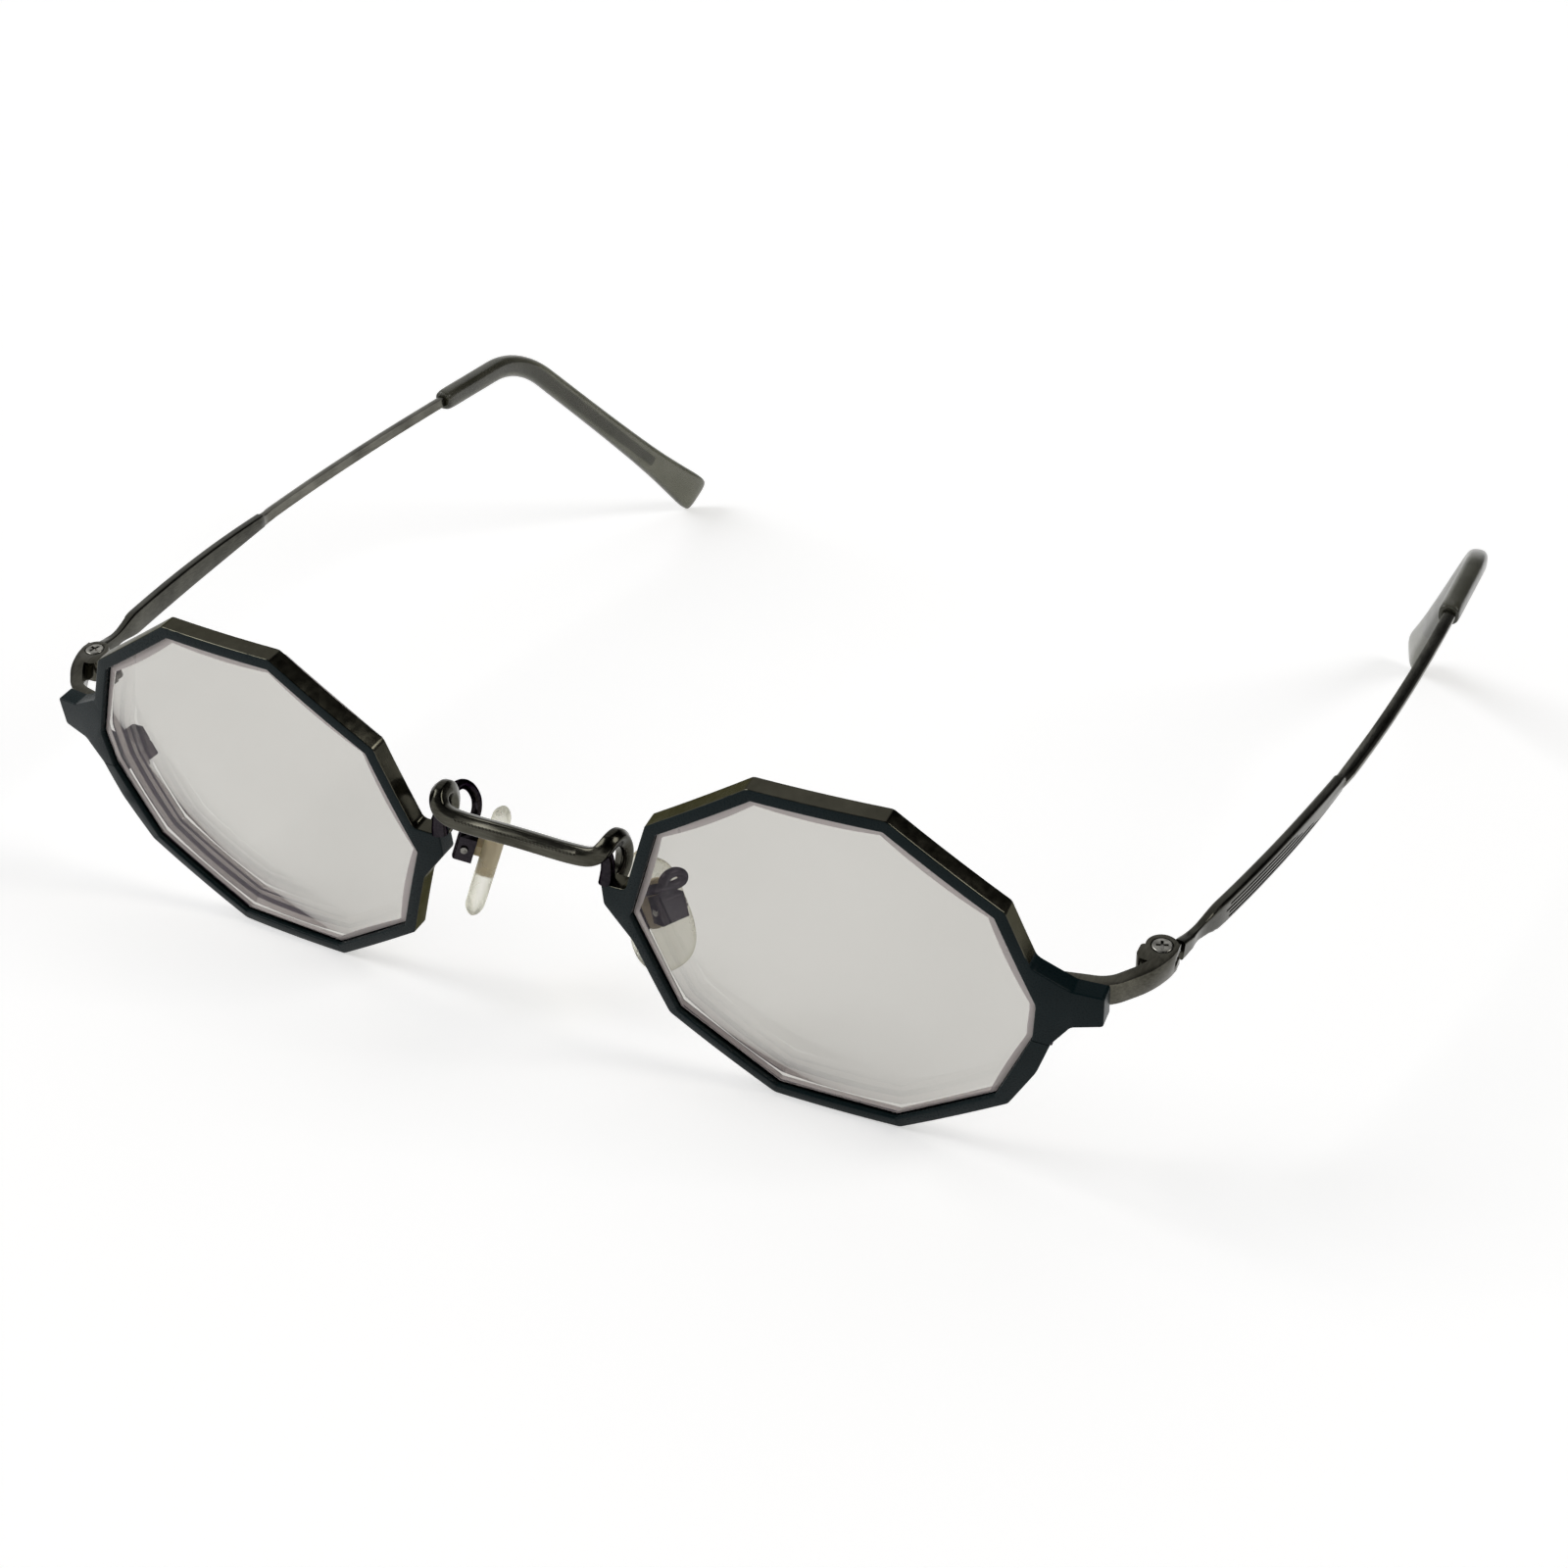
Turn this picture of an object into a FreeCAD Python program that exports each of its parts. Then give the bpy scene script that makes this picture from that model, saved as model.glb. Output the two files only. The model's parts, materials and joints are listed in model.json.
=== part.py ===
"""Prescription glasses with ten-sided metal rims, standing open on a table.

Everything is first drawn in the frame of the front: the rims stand upright at y = 0, the front
faces -Y, +X is the wearer's left and the middle of the lenses is at z = 0. The left side is drawn
and mirrored to the right. At the end the whole part leans forward until the rims and the temple
tips rest on one level surface, and its origin goes to the middle of that footprint.
"""
import FreeCAD, Part
import os
from math import asin, atan2, cos, degrees, hypot, pi, radians, sin, tan

Vector = FreeCAD.Vector
Rotation = FreeCAD.Rotation
Placement = FreeCAD.Placement

# Lenses
lens_width = 42.0               # opening of the rim, corner to corner
lens_height = 38.6              # opening of the rim, flat to flat
side_count = 10
bridge_gap = 25.2               # between the two openings, at their nose corners
wrap_angle = 2.65               # each lens turns back this much towards the temple
base_radius = 175.0             # radius of the rims and of the lens fronts
temple_corner_rise = 1.9        # upper corner beside the lug, above the middle
temple_corner_drop = 2.6        # lower corner beside the lug, below the middle
temple_side_lean = 0.3          # the lower of these corners lies this much nearer the nose
lens_center_thickness = 1.5
lens_back_radius = 80.0
lens_setback = 0.45             # lens front behind the rim's front face
lens_clearance = 0.03

# Rims
rim_width = 1.3
rim_depth = 1.9
rim_corner_radius = 0.9
rim_edge_radius = 0.16
opening_corner_radius = 0.35
temple_corner_radius = 2.2      # of the two corners beside the lug
groove_width = 0.9
groove_depth = 0.5
groove_clearance = 0.05
rim_cut_height = -2.75          # height of the cut on the temple side
rim_cut_gap = 0.1
rim_cut_lean = 10.0             # the cut's outer end dips
seat_bite = 0.05                # how far a soldered foot is let into its seat before it is trimmed

# Lug on the temple side of each rim
lug_length = 5.0                # past the rim's outer corner
lug_top = 4.1
lug_bottom = 0.5
lug_foot_reach = 0.5            # the lug's foot below, out from the rim's corner
lug_fillet = 3.0
lug_corner_radius = 0.35

# Tab on the nose side of each rim, which carries the bridge and the pad arm
tab_reach = 1.75                # past the rim's outer edge
tab_top = 3.1
tab_bottom = 0.4
tab_root = 5.2                  # height over which the tab runs into the rim

# Closing blocks behind the cut
block_width = 1.75
block_length = 2.1
block_depth = 3.2
block_edge_radius = 0.3
lock_screw_radius = 0.5
lock_head_radius = 0.85
lock_head_height = 0.5
lock_slot_width = 0.22

# Hinges
hinge_reach = 2.3               # from the lug's end out to a hinge screw
hinge_setback = 12.55           # from the rims' plane back to the hinge screw
hinge_height = 2.35
hinge_tilt = 3.0                # the hinge screw's top leans back
strip_height = 2.5
strip_thickness = 1.25
strip_face_offset = 1.55        # outer face of the strip beyond the hinge screw
strip_shoulder = 0.45           # where the strip turns back: outward of the hinge screw
strip_shoulder_lead = 3.7       # and in front of it
strip_bend_radii = (4.5, 10.0, 5.5)   # at the lug, at the shoulder and beside the ears
ear_radius = 1.58
ear_apron_reach = 1.9           # inner edge of the ears in front of the screw
ear_apron_lead = 2.5            # and how far in front they begin
ear_apron_setback = 0.35        # clear of the folded temple
ear_apron_radius = 0.8
ear_thickness = 0.78
knuckle_radius = 1.46
knuckle_gap = 0.05              # above and below the knuckle
hinge_stop_gap = 0.12
hinge_screw_radius = 0.55
hinge_screw_clearance = 0.05
hinge_head_radius = 1.0
hinge_head_height = 0.42
hinge_head_proud = 0.08
hinge_head_gap = 0.1
hinge_screw_tip = 0.15          # past the lower ear
recess_length = 1.2
recess_width = 0.28
recess_depth = 0.24
recess_turn = 20.0

# Temples
temple_reach = 103.0            # hinge screw to the corner of the ear bend, along the front's depth
temple_bow = 8.05               # how far the temple swings outward
temple_set_out = 0.6            # middle of the temple outward of the hinge screw
temple_set_down = 0.33          # and below the middle of the hinge
temple_drop = 19.2              # drop from the hinge to the corner of the ear bend
temple_straight_share = 0.85    # the bow fades out at this share of the reach
bow_power = 2.5
neck_height = 1.5
neck_thickness = 1.2
flat_height = 2.8
flat_thickness = 1.15
wire_radius = 0.7
flat_edge_radius = 0.34
wire_shares = (0.41, 0.55, 0.69, 0.83)
# along the reach, and from neck to flat height and thickness
neck_shares = ((0.019, 0.5, 0.0), (0.031, 0.2, 0.8), (0.043, 0.0, 1.0), (0.055, 0.02, 1.0),
               (0.067, 0.35, 0.8), (0.079, 0.8, 0.4), (0.091, 1.0, 0.0))
# along the reach, and from wire to flat height and thickness
flat_shares = ((0.091, 1.0, 1.0), (0.145, 1.0, 1.0), (0.19, 0.97, 1.0), (0.235, 0.9, 1.0),
               (0.28, 0.78, 1.0), (0.325, 0.58, 1.0), (0.37, 0.3, 0.8), (0.415, 0.0, 0.0))

# Ear bend and temple tips
tail_length = 51.0              # corner of the ear bend to the end of the tip
tail_angle = 54.3               # below the rims' forward axis
tail_inward = 12.8              # degrees towards the head
bend_radius = 17.0
sleeve_lead = 20.2              # sleeve in front of the corner of the ear bend
sleeve_height = 2.9
sleeve_thickness = 2.6
paddle_height = 6.1
paddle_thickness = 2.8
core_end = 12.5                 # core stops this far before the end of the tip
sleeve_clearance = 0.02
# along the sleeve, and from sleeve to paddle height and thickness
sleeve_shares = ((0.0, -0.12, -0.1), (0.012, 0.0, 0.0), (0.12, 0.02, 0.1), (0.2, 0.04, 0.2),
                 (0.26, 0.06, 0.3), (0.32, 0.08, 0.4), (0.38, 0.1, 0.5), (0.46, 0.12, 0.6),
                 (0.62, 0.18, 0.9), (0.76, 0.32, 1.0), (0.88, 0.62, 1.0), (0.96, 0.94, 0.9),
                 (0.99, 0.96, 0.4), (1.0, 0.7, -1.6))

# Bridge
bar_height = 5.75               # above the middle of the lenses
bar_back = 1.05                 # behind the plane of the rims
bar_width = 2.0
bar_thickness = 1.35
bar_edge_share = 0.3
bar_lean_share = 0.6            # the bar's broad face looks forward and this much up
curl_reach = 10.0               # from the middle out to the curl
curl_depth = 3.5                # from the bar to the back of the curl
curl_rise = 1.5
strand_radius = 0.62            # the second strand, from the bar down to the tab
strand_top_share = 0.935
strand_foot_share = 0.985
# along half the bridge: shares of the curl's reach, depth and rise, and of the bar's width
bridge_shares = ((0.0, 0.0, 0.0, 1.0), (0.25, 0.0, -0.02, 1.0), (0.5, 0.01, -0.07, 1.0),
                 (0.7, 0.02, -0.04, 1.0), (0.82, 0.05, 0.04, 0.95), (0.91, 0.12, 0.28, 0.85),
                 (0.965, 0.27, 0.68, 0.75), (0.99, 0.5, 0.9, 0.7), (1.0, 0.78, 0.75, 0.7),
                 (1.005, 0.99, 0.1, 0.68), (1.01, 1.03, -0.85, 0.65), (1.01, 0.88, -1.65, 0.62),
                 (1.005, 0.6, -2.2, 0.6), (1.0, 0.3, -2.35, 0.6))

# Nose pads
pad_length = 13.3
pad_width = 7.6
pad_thickness = 2.1
pad_out = 9.7                   # from the middle of the front to the pad, level with its boss
pad_back = 8.9
pad_down = 5.85
pad_splay = 70.0                # azimuth of the pad's outer face
pad_flare = 21.0                # how far the outer face looks up
pad_roll = 9.0                  # how far the pad's top leans back
pad_hang = 1.2                  # middle of the pad below its boss
# outline of the pad as shares of its width and length, from the top round the back
pad_outline_shares = ((0.0, 0.5), (0.3, 0.42), (0.47, 0.05), (0.5, -0.25), (0.3, -0.5),
                      (-0.25, -0.5), (-0.46, -0.3), (-0.4, 0.1), (-0.22, 0.44))
# inset and height above the pad's middle layer, as shares of its thickness
pad_layer_shares = ((0.55, -0.5), (0.12, -0.25), (0.0, 0.0), (0.12, 0.25), (0.4, 0.5))
box_gap = 0.65                  # between the pad and its box
box_length = 3.0
box_width = 3.0
box_depth = 2.2
box_wall = 0.38
box_corner_radius = 0.36
boss_clearance = 0.08
pad_screw_radius = 0.4
pad_screw_clearance = 0.05
pad_head_radius = 0.7
pad_head_height = 0.3
core_width = 3.4                # core plate inside the pad
core_length = 5.6
core_corner_radius = 1.2
core_thickness = 0.7

# Pad arms
arm_radius = 0.5
arm_root_height = 1.0
arm_loop_radius = 1.35
arm_lead_share = 0.45           # along the lead from the rim to the loop, where it still stands high
arm_lead_rise = 0.3
# middle of the loop from the box, and the loop's points from its middle, in loop radii
arm_loop_middle_shares = (0.13, 0.42, 2.3)
arm_loop_shares = ((0.5, -0.95, -0.85), (0.5, 0.1, -1.02), (0.42, 0.93, -0.35), (0.25, 0.85, 0.5),
                   (0.0, 0.0, 1.0), (-0.3, -0.85, 0.45), (-0.42, -0.85, -0.55), (-0.3, -0.5, -1.5))

# Shares of neighbouring sizes
lug_root_share = 0.42           # lug's upper root along the side above it
belly_share = 0.55              # fullest place of the rim below the lug
lock_hold_share = 0.8           # of the upper block that the closing screw enters
ear_lead_share = 0.55           # of the ear's radius that the strip passes the hinge screw
sleeve_corner_share = 0.42      # of a tip's lesser side
boss_corner_share = 0.8
look_step = 0.02                # share of the reach over which a temple's direction is taken

# Places that follow from the sizes above
lens_center = bridge_gap / 2 + lens_width / 2
lug_reach = lens_width / 2 + rim_width + lug_length
hinge_half_span = lens_center + lug_reach + hinge_reach
X_AXIS = Vector(1, 0, 0)
Y_AXIS = Vector(0, 1, 0)
Z_AXIS = Vector(0, 0, 1)


# Outlines and paths

def corner_arc(before, corner, after, radius):
    """Start, middle and end of the arc that rounds a corner."""
    into = (before - corner).normalize()
    away = (after - corner).normalize()
    half = into.getAngle(away) / 2
    reach = radius / tan(half)
    bisector = (into + away).normalize()
    middle = corner + bisector * (radius / sin(half) - radius)
    return corner + into * reach, middle, corner + away * reach


def rounded_edges(points, radii, closed):
    """Straight edges through the points, with each corner rounded by its radius."""
    count = len(points)
    edges = []
    last = None
    first = None
    for index in range(count):
        inner = closed or 0 < index < count - 1
        point = points[index]
        start, end = point, point
        arc = None
        if inner and radii[index] > 0:
            before = points[index - 1]
            after = points[(index + 1) % count]
            start, middle, end = corner_arc(before, point, after, radii[index])
            arc = Part.Arc(start, middle, end).toShape()
        if last is not None:
            edges.append(Part.LineSegment(last, start).toShape())
        else:
            first = start
        if arc is not None:
            edges.append(arc)
        last = end
    if closed:
        edges.append(Part.LineSegment(last, first).toShape())
    return edges


def outline_face(points, radii):
    return Part.Face(Part.Wire(rounded_edges(points, radii, True)))


def polygon_prism(pairs, radii, low, high):
    """Prism along Y of an outline given as (x, z) pairs."""
    points = [Vector(x, low, z) for x, z in pairs]
    return outline_face(points, radii).extrude(Y_AXIS * (high - low))


def plan_prism(pairs, radii, low, high):
    """Prism along Z of an outline given as (x, y) pairs."""
    points = [Vector(x, y, low) for x, y in pairs]
    return outline_face(points, radii).extrude(Z_AXIS * (high - low))


def moved_polygon(pairs, distance):
    """Outline whose sides all move outward by a distance. Its corners run counterclockwise."""
    moved = []
    count = len(pairs)
    for index in range(count):
        ax, az = pairs[index - 1]
        bx, bz = pairs[index]
        cx, cz = pairs[(index + 1) % count]
        first = atan2(bz - az, bx - ax)
        second = atan2(cz - bz, cx - bx)
        middle = first + ((second - first + pi) % (2 * pi) - pi) / 2
        reach = distance / cos(middle - first)
        moved.append((bx + reach * sin(middle), bz - reach * cos(middle)))
    return moved


def between(first, second, share):
    return tuple(a + (b - a) * share for a, b in zip(first, second))


def section_wire(center, along, side, width, height, corner):
    """Rounded rectangle square to a direction: width lies towards side."""
    along = Vector(along).normalize()
    side = Vector(side) - along * along.dot(side)
    side.normalize()
    up = side.cross(along)
    x, z = width / 2, height / 2
    points = [center + side * a + up * b for a, b in ((x, -z), (x, z), (-x, z), (-x, -z))]
    return Part.Wire(rounded_edges(points, [corner] * len(points), True))


def path_wire(points, radii):
    return Part.Wire(rounded_edges(points, radii, False))


def path_station(path, distance):
    """Point and direction on a path, a distance from its start."""
    for edge in path.Edges:
        if distance <= edge.Length or edge.isSame(path.Edges[-1]):
            parameter = edge.getParameterByLength(min(distance, edge.Length))
            return edge.valueAt(parameter), edge.tangentAt(parameter)
        distance -= edge.Length


def round_pipe(path, radius):
    start, along = path_station(path, 0)
    circle = Part.Wire(Part.makeCircle(radius, start, along))
    return path.makePipeShell([circle], True, False)


def rod(radius, start, end):
    return Part.makeCylinder(radius, (end - start).Length, start, end - start)


# Rims and lenses, in the frame of one lens: x towards the temple, z up, y back

def opening_corners():
    """Corners of the rim's opening: a stretched ten-sided figure, blunt beside the lug."""
    step = 2 * pi / side_count
    tall = lens_height / 2 / sin(2 * step)
    corners = [(lens_width / 2, temple_corner_rise)]
    corners += [(lens_width / 2 * cos(i * step), tall * sin(i * step)) for i in range(1, side_count)]
    corners.append((lens_width / 2 - temple_side_lean, -temple_corner_drop))
    return corners


def corner_radii(offset):
    """Radii of the opening's corners, for an outline moved outward by an offset."""
    radii = [opening_corner_radius] * (side_count + 1)
    radii[0] = temple_corner_radius + offset
    radii[-1] = temple_corner_radius + offset
    return radii


def rim_outline():
    """Outer corners of the rim with the lug and the nose tab, and their radii."""
    outer = moved_polygon(opening_corners(), rim_width)
    nose = side_count // 2
    lug_root = between(outer[0], outer[1], lug_root_share)
    tab_face = outer[nose][0] - tab_reach
    below = outer[-1]
    foot = (below[0] + lug_foot_reach, below[1])
    pairs = [foot, (lug_reach - lug_fillet, lug_bottom - 2 * lug_corner_radius),
             (lug_reach, lug_bottom), (lug_reach, lug_top),
             (lug_reach - lug_fillet, lug_top + lug_corner_radius), lug_root]
    radii = [lug_corner_radius, lug_fillet / 3, lug_corner_radius, lug_corner_radius,
             lug_fillet / 3, lug_fillet / 2]
    for index in range(1, nose):
        pairs.append(outer[index])
        radii.append(rim_corner_radius)
    tab_above = between(outer[nose], outer[nose - 1], tab_root / lens_height * 2)
    tab_below = between(outer[nose], outer[nose + 1], tab_root / lens_height * 2)
    pairs += [tab_above, (tab_face, tab_top), (tab_face, tab_bottom), tab_below]
    radii += [rim_corner_radius, lug_corner_radius, rim_corner_radius, lug_fillet]
    for index in range(nose + 1, side_count - 1):
        pairs.append(outer[index])
        radii.append(rim_corner_radius)
    corner = (outer[-2][0] + lug_foot_reach / 2, outer[-2][1])
    belly = between(corner, foot, belly_share)
    pairs += [corner, (belly[0] + lug_foot_reach, belly[1])]
    radii += [rim_corner_radius, 2 * lug_fillet]
    return pairs, radii


def lens_sphere(radius, front):
    """Ball whose surface passes the lens axis at y = front and curves back around it."""
    return Part.makeSphere(radius, Vector(0, front + radius, 0))


def shell_between(front, back):
    """Curved layer parallel to the rim's front face."""
    outer = Part.makeSphere(base_radius - front, Vector(0, base_radius, 0))
    inner = Part.makeSphere(base_radius - back, Vector(0, base_radius, 0))
    return outer.cut(inner)


def opening_prism(offset):
    pairs = moved_polygon(opening_corners(), offset)
    return polygon_prism(pairs, corner_radii(offset), -rim_depth, lens_width / 2)


def cut_frame():
    """Place of the cut through the rim: x across the rim, z along it and up."""
    corners = opening_corners()
    upper, lower = corners[-1], corners[-2]
    share = (upper[1] - rim_cut_height) / (upper[1] - lower[1])
    x, z = between(upper, lower, share)
    return Placement(Vector(x, 0, z), Rotation(Y_AXIS, rim_cut_lean))


def make_rim():
    pairs, radii = rim_outline()
    ring = polygon_prism(pairs, radii, -rim_depth, lens_width / 2).cut(opening_prism(0))
    rim = ring.common(shell_between(0, rim_depth))
    center = Vector(0, base_radius, 0)
    edges = []
    for edge in rim.Edges:
        middle = edge.valueAt((edge.FirstParameter + edge.LastParameter) / 2)
        if abs((middle - center).Length - base_radius) < rim_edge_radius / 10:
            edges.append(edge)
    rim = rim.makeFillet(rim_edge_radius, edges)
    middle = rim_depth / 2
    groove = opening_prism(groove_depth)
    groove = groove.common(shell_between(middle - groove_width / 2, middle + groove_width / 2))
    rim = rim.cut(groove)
    cutter = Part.makeBox(2 * lug_fillet, lens_width / 2, rim_cut_gap,
                          Vector(-lug_fillet / 2, -rim_depth, -rim_cut_gap / 2))
    cutter.Placement = cut_frame()
    return rim.cut(cutter)


def make_lens():
    body = opening_prism(-lens_clearance)
    body = body.common(lens_sphere(base_radius, lens_setback))
    body = body.cut(lens_sphere(lens_back_radius, lens_setback + lens_center_thickness))
    middle = rim_depth / 2
    half = groove_width / 2 - groove_clearance
    tongue = opening_prism(groove_depth - groove_clearance)
    tongue = tongue.common(shell_between(middle - half, middle + half))
    tongue = tongue.cut(opening_prism(-lens_clearance - groove_depth))
    return body.fuse(tongue).removeSplitter()


def block_box(low, high):
    """Block behind the rim beside the cut, from low to high along the rim."""
    box = Part.makeBox(block_width, block_depth + rim_depth * 2, high - low,
                       Vector(lens_clearance, 0, low))
    edges = [edge for edge in box.Edges if edge.BoundBox.YMin > rim_depth]
    box = box.makeFillet(block_edge_radius, edges)
    box.Placement = cut_frame()
    behind_rim = Part.makeSphere(base_radius - rim_depth, Vector(0, base_radius, 0))
    return box.common(behind_rim)


def lock_screw_line():
    """The closing screw's axis: bottom and top ends, beside the cut."""
    place = cut_frame()
    depth = (lens_width / 2) ** 2 / 2 / base_radius + rim_depth + block_depth / 2
    across = block_width / 2 + lens_clearance
    bottom = place.multVec(Vector(across, depth, -block_length))
    top = place.multVec(Vector(across, depth, block_length * lock_hold_share))
    return bottom, top


def make_lock_screw():
    bottom, top = lock_screw_line()
    along = (top - bottom).normalize()
    head = rod(lock_head_radius, bottom - along * lock_head_height, bottom)
    slot = Part.makeBox(lock_head_radius * 4, lock_slot_width, lock_head_height,
                        Vector(-lock_head_radius * 2, -lock_slot_width / 2, -lock_head_height))
    slot.Placement = Placement(bottom - along * lock_head_height / 2, Rotation(Z_AXIS, along))
    return head.fuse(rod(lock_screw_radius, bottom, top)).cut(slot)


def make_upper_block():
    bottom, top = lock_screw_line()
    return block_box(rim_cut_gap / 2, block_length).cut(rod(lock_screw_radius, bottom, top))


def make_lower_block():
    bottom, top = lock_screw_line()
    return block_box(-block_length, -rim_cut_gap / 2).cut(rod(lock_screw_radius, bottom, top))


lens_place = Placement(Vector(lens_center, 0, 0), Rotation(Z_AXIS, wrap_angle))


# Hinge, in the frame of the hinge screw: z along the screw, y back, x outward

hinge_place = Placement(Vector(hinge_half_span, hinge_setback, hinge_height),
                        Rotation(X_AXIS, -hinge_tilt))


def strip_outline():
    """Plan of the end piece's strip: outer face from the lug to the ears, then back inside."""
    back = rim_depth - seat_bite
    lug_back = lens_place.multVec(Vector(lug_reach, lug_reach ** 2 / 2 / base_radius + back, 0))
    lug_root = lens_width / 2 + rim_width
    root_back = lens_place.multVec(Vector(lug_root, lug_root ** 2 / 2 / base_radius + back, 0))
    face = strip_face_offset
    thick = strip_thickness
    tip = (lug_back.x - hinge_half_span, lug_back.y - hinge_setback)
    root = (root_back.x - hinge_half_span, root_back.y - hinge_setback)
    shoulder = (strip_shoulder, -strip_shoulder_lead)
    outer = [root, tip, shoulder, (face, -ear_radius / 2), (face, ear_radius * ear_lead_share)]
    inner = [(face - thick, ear_radius * ear_lead_share), (face - thick, -ear_radius / 2),
             (shoulder[0] - thick, shoulder[1] + thick / 2), (tip[0] - thick / 2, tip[1] + thick),
             (root[0], root[1] + thick)]
    bends = strip_bend_radii
    hollow = [bend - thick for bend in reversed(bends)]
    return outer + inner, [0, *bends, 0, 0, *hollow, 0]


def hinge_layer(low, high):
    """Strip and ear together, over one range of heights."""
    pairs, radii = strip_outline()
    strip = plan_prism(pairs, radii, low, high)
    inner = strip_face_offset - strip_thickness / 2
    apron = plan_prism([(-ear_apron_reach, -ear_apron_lead), (inner - strip_thickness, -ear_apron_lead),
                        (inner, -ear_apron_setback), (-ear_apron_reach, -ear_apron_setback)],
                       [ear_apron_radius, 0, 0, ear_apron_radius / 2], low, high)
    ear = Part.makeCylinder(ear_radius, high - low, Vector(0, 0, low))
    return strip.fuse(apron).fuse(ear)


def make_endpiece():
    half = strip_height / 2
    body = hinge_layer(-half, half)
    slot_half = half - ear_thickness
    slot = Part.makeCylinder(knuckle_radius + hinge_stop_gap, 2 * slot_half,
                             Vector(0, 0, -slot_half))
    side = ear_radius * 2
    back = Part.makeBox(2 * side, side, 2 * slot_half, Vector(-side, -ear_radius / 4, -slot_half))
    body = body.cut(slot).cut(back)
    body = body.cut(Part.makeCylinder(hinge_screw_radius, strip_height, Vector(0, 0, -half)))
    seat = Part.makeCylinder(hinge_head_radius + hinge_head_gap, ear_thickness,
                             Vector(0, 0, half - hinge_head_height + hinge_head_proud))
    return body.cut(seat).removeSplitter()


def make_hinge_screw():
    top = strip_height / 2 + hinge_head_proud
    seat = top - hinge_head_height
    shaft = rod(hinge_screw_radius, Vector(0, 0, -strip_height / 2 - hinge_screw_tip),
                Vector(0, 0, seat))
    head = rod(hinge_head_radius, Vector(0, 0, seat), Vector(0, 0, top))
    rim = [edge for edge in head.Edges if edge.BoundBox.ZMin > seat and edge.Closed]
    head = head.makeFillet(hinge_head_height / 3, rim)
    screw = shaft.fuse(head)
    for turn in (0, 90):
        arm = Part.makeBox(recess_length, recess_width, recess_depth * 2,
                           Vector(-recess_length / 2, -recess_width / 2, -recess_depth))
        arm.Placement = Placement(Vector(0, 0, top), Rotation(Z_AXIS, turn + recess_turn))
        screw = screw.cut(arm)
    return screw


# Temple

def temple_point(share):
    """Middle of the temple at a share of its reach: it bows outward and drops evenly."""
    out = 1 - (1 - min(share / temple_straight_share, 1)) ** bow_power
    return Vector(hinge_half_span + temple_set_out + temple_bow * out,
                  hinge_setback + temple_reach * share,
                  hinge_height - temple_set_down - temple_drop * share)


def temple_path(tail):
    """Line of the wire: gently bent to the ear bend, then down the tail."""
    points = [temple_point(share) for share in wire_shares]
    corner = temple_point(1)
    lean = radians(tail_angle)
    turn = radians(tail_inward)
    along = Vector(-sin(turn), cos(lean) * cos(turn), -sin(lean) * cos(turn))
    points += [corner, corner + along * tail]
    radii = [0] + [temple_reach] * (len(wire_shares) - 1) + [bend_radius, 0]
    return path_wire(points, radii)


def body_section(share, low, narrow, tall, thick):
    """Section of the flat part, from a low height and narrow thickness by shares to the full."""
    along = temple_point(share + look_step) - temple_point(share - look_step)
    height = low + (flat_height - low) * tall
    width = narrow + (flat_thickness - narrow) * thick
    return section_wire(temple_point(share), along, X_AXIS, width, height, flat_edge_radius)


def temple_body():
    """Loft from the knuckle through the neck and the flat part to the wire."""
    neck = [body_section(share, neck_height, flat_thickness, tall, 0)
            for share, tall, thick in neck_shares]
    flat = [body_section(share, 2 * wire_radius, 2 * wire_radius, tall, thick)
            for share, tall, thick in flat_shares]
    return Part.makeLoft(neck, True, False).fuse(Part.makeLoft(flat, True, False))


def make_temple():
    half = strip_height / 2 - ear_thickness - knuckle_gap
    knuckle = Part.makeCylinder(knuckle_radius, 2 * half, Vector(0, 0, -half))
    face = strip_face_offset
    start = temple_reach * neck_shares[0][0]
    web = Part.makeBox(face, start + ear_radius / 2, 2 * half, Vector(0, 0, -half))
    knuckle = knuckle.fuse(web)
    hole = Part.makeCylinder(hinge_screw_radius + hinge_screw_clearance, strip_height,
                             Vector(0, 0, -strip_height / 2))
    knuckle = knuckle.cut(hole)
    knuckle.Placement = hinge_place
    wire = round_pipe(temple_path(tail_length - core_end), wire_radius)
    return knuckle.fuse(temple_body()).fuse(wire)


def make_temple_tip():
    path = temple_path(tail_length)
    bend_loss = 2 * bend_radius * tan(bend_turn() / 2) - bend_radius * bend_turn()
    sleeve = sleeve_lead + tail_length - bend_loss
    start = path.Length - sleeve
    wires = []
    for share, tall, thick in sleeve_shares:
        center, along = path_station(path, start + sleeve * share)
        height = sleeve_height + (paddle_height - sleeve_height) * tall
        width = sleeve_thickness + (paddle_thickness - sleeve_thickness) * thick
        corner = min(width, height) * sleeve_corner_share
        wires.append(section_wire(center, along, X_AXIS, width, height, corner))
    body = Part.makeLoft(wires, True, False)
    bore = round_pipe(temple_path(tail_length - core_end), wire_radius + sleeve_clearance)
    return body.cut(bore)


def bend_turn():
    """Angle of the ear bend, in radians."""
    corner = temple_point(1)
    before = corner - temple_point(wire_shares[-1])
    lean = radians(tail_angle)
    turn = radians(tail_inward)
    return before.getAngle(Vector(-sin(turn), cos(lean) * cos(turn), -sin(lean) * cos(turn)))


# Bridge

def bridge_point(out, back, up):
    return Vector(curl_reach * out, bar_back + curl_depth * back, bar_height + curl_rise * up)


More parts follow.
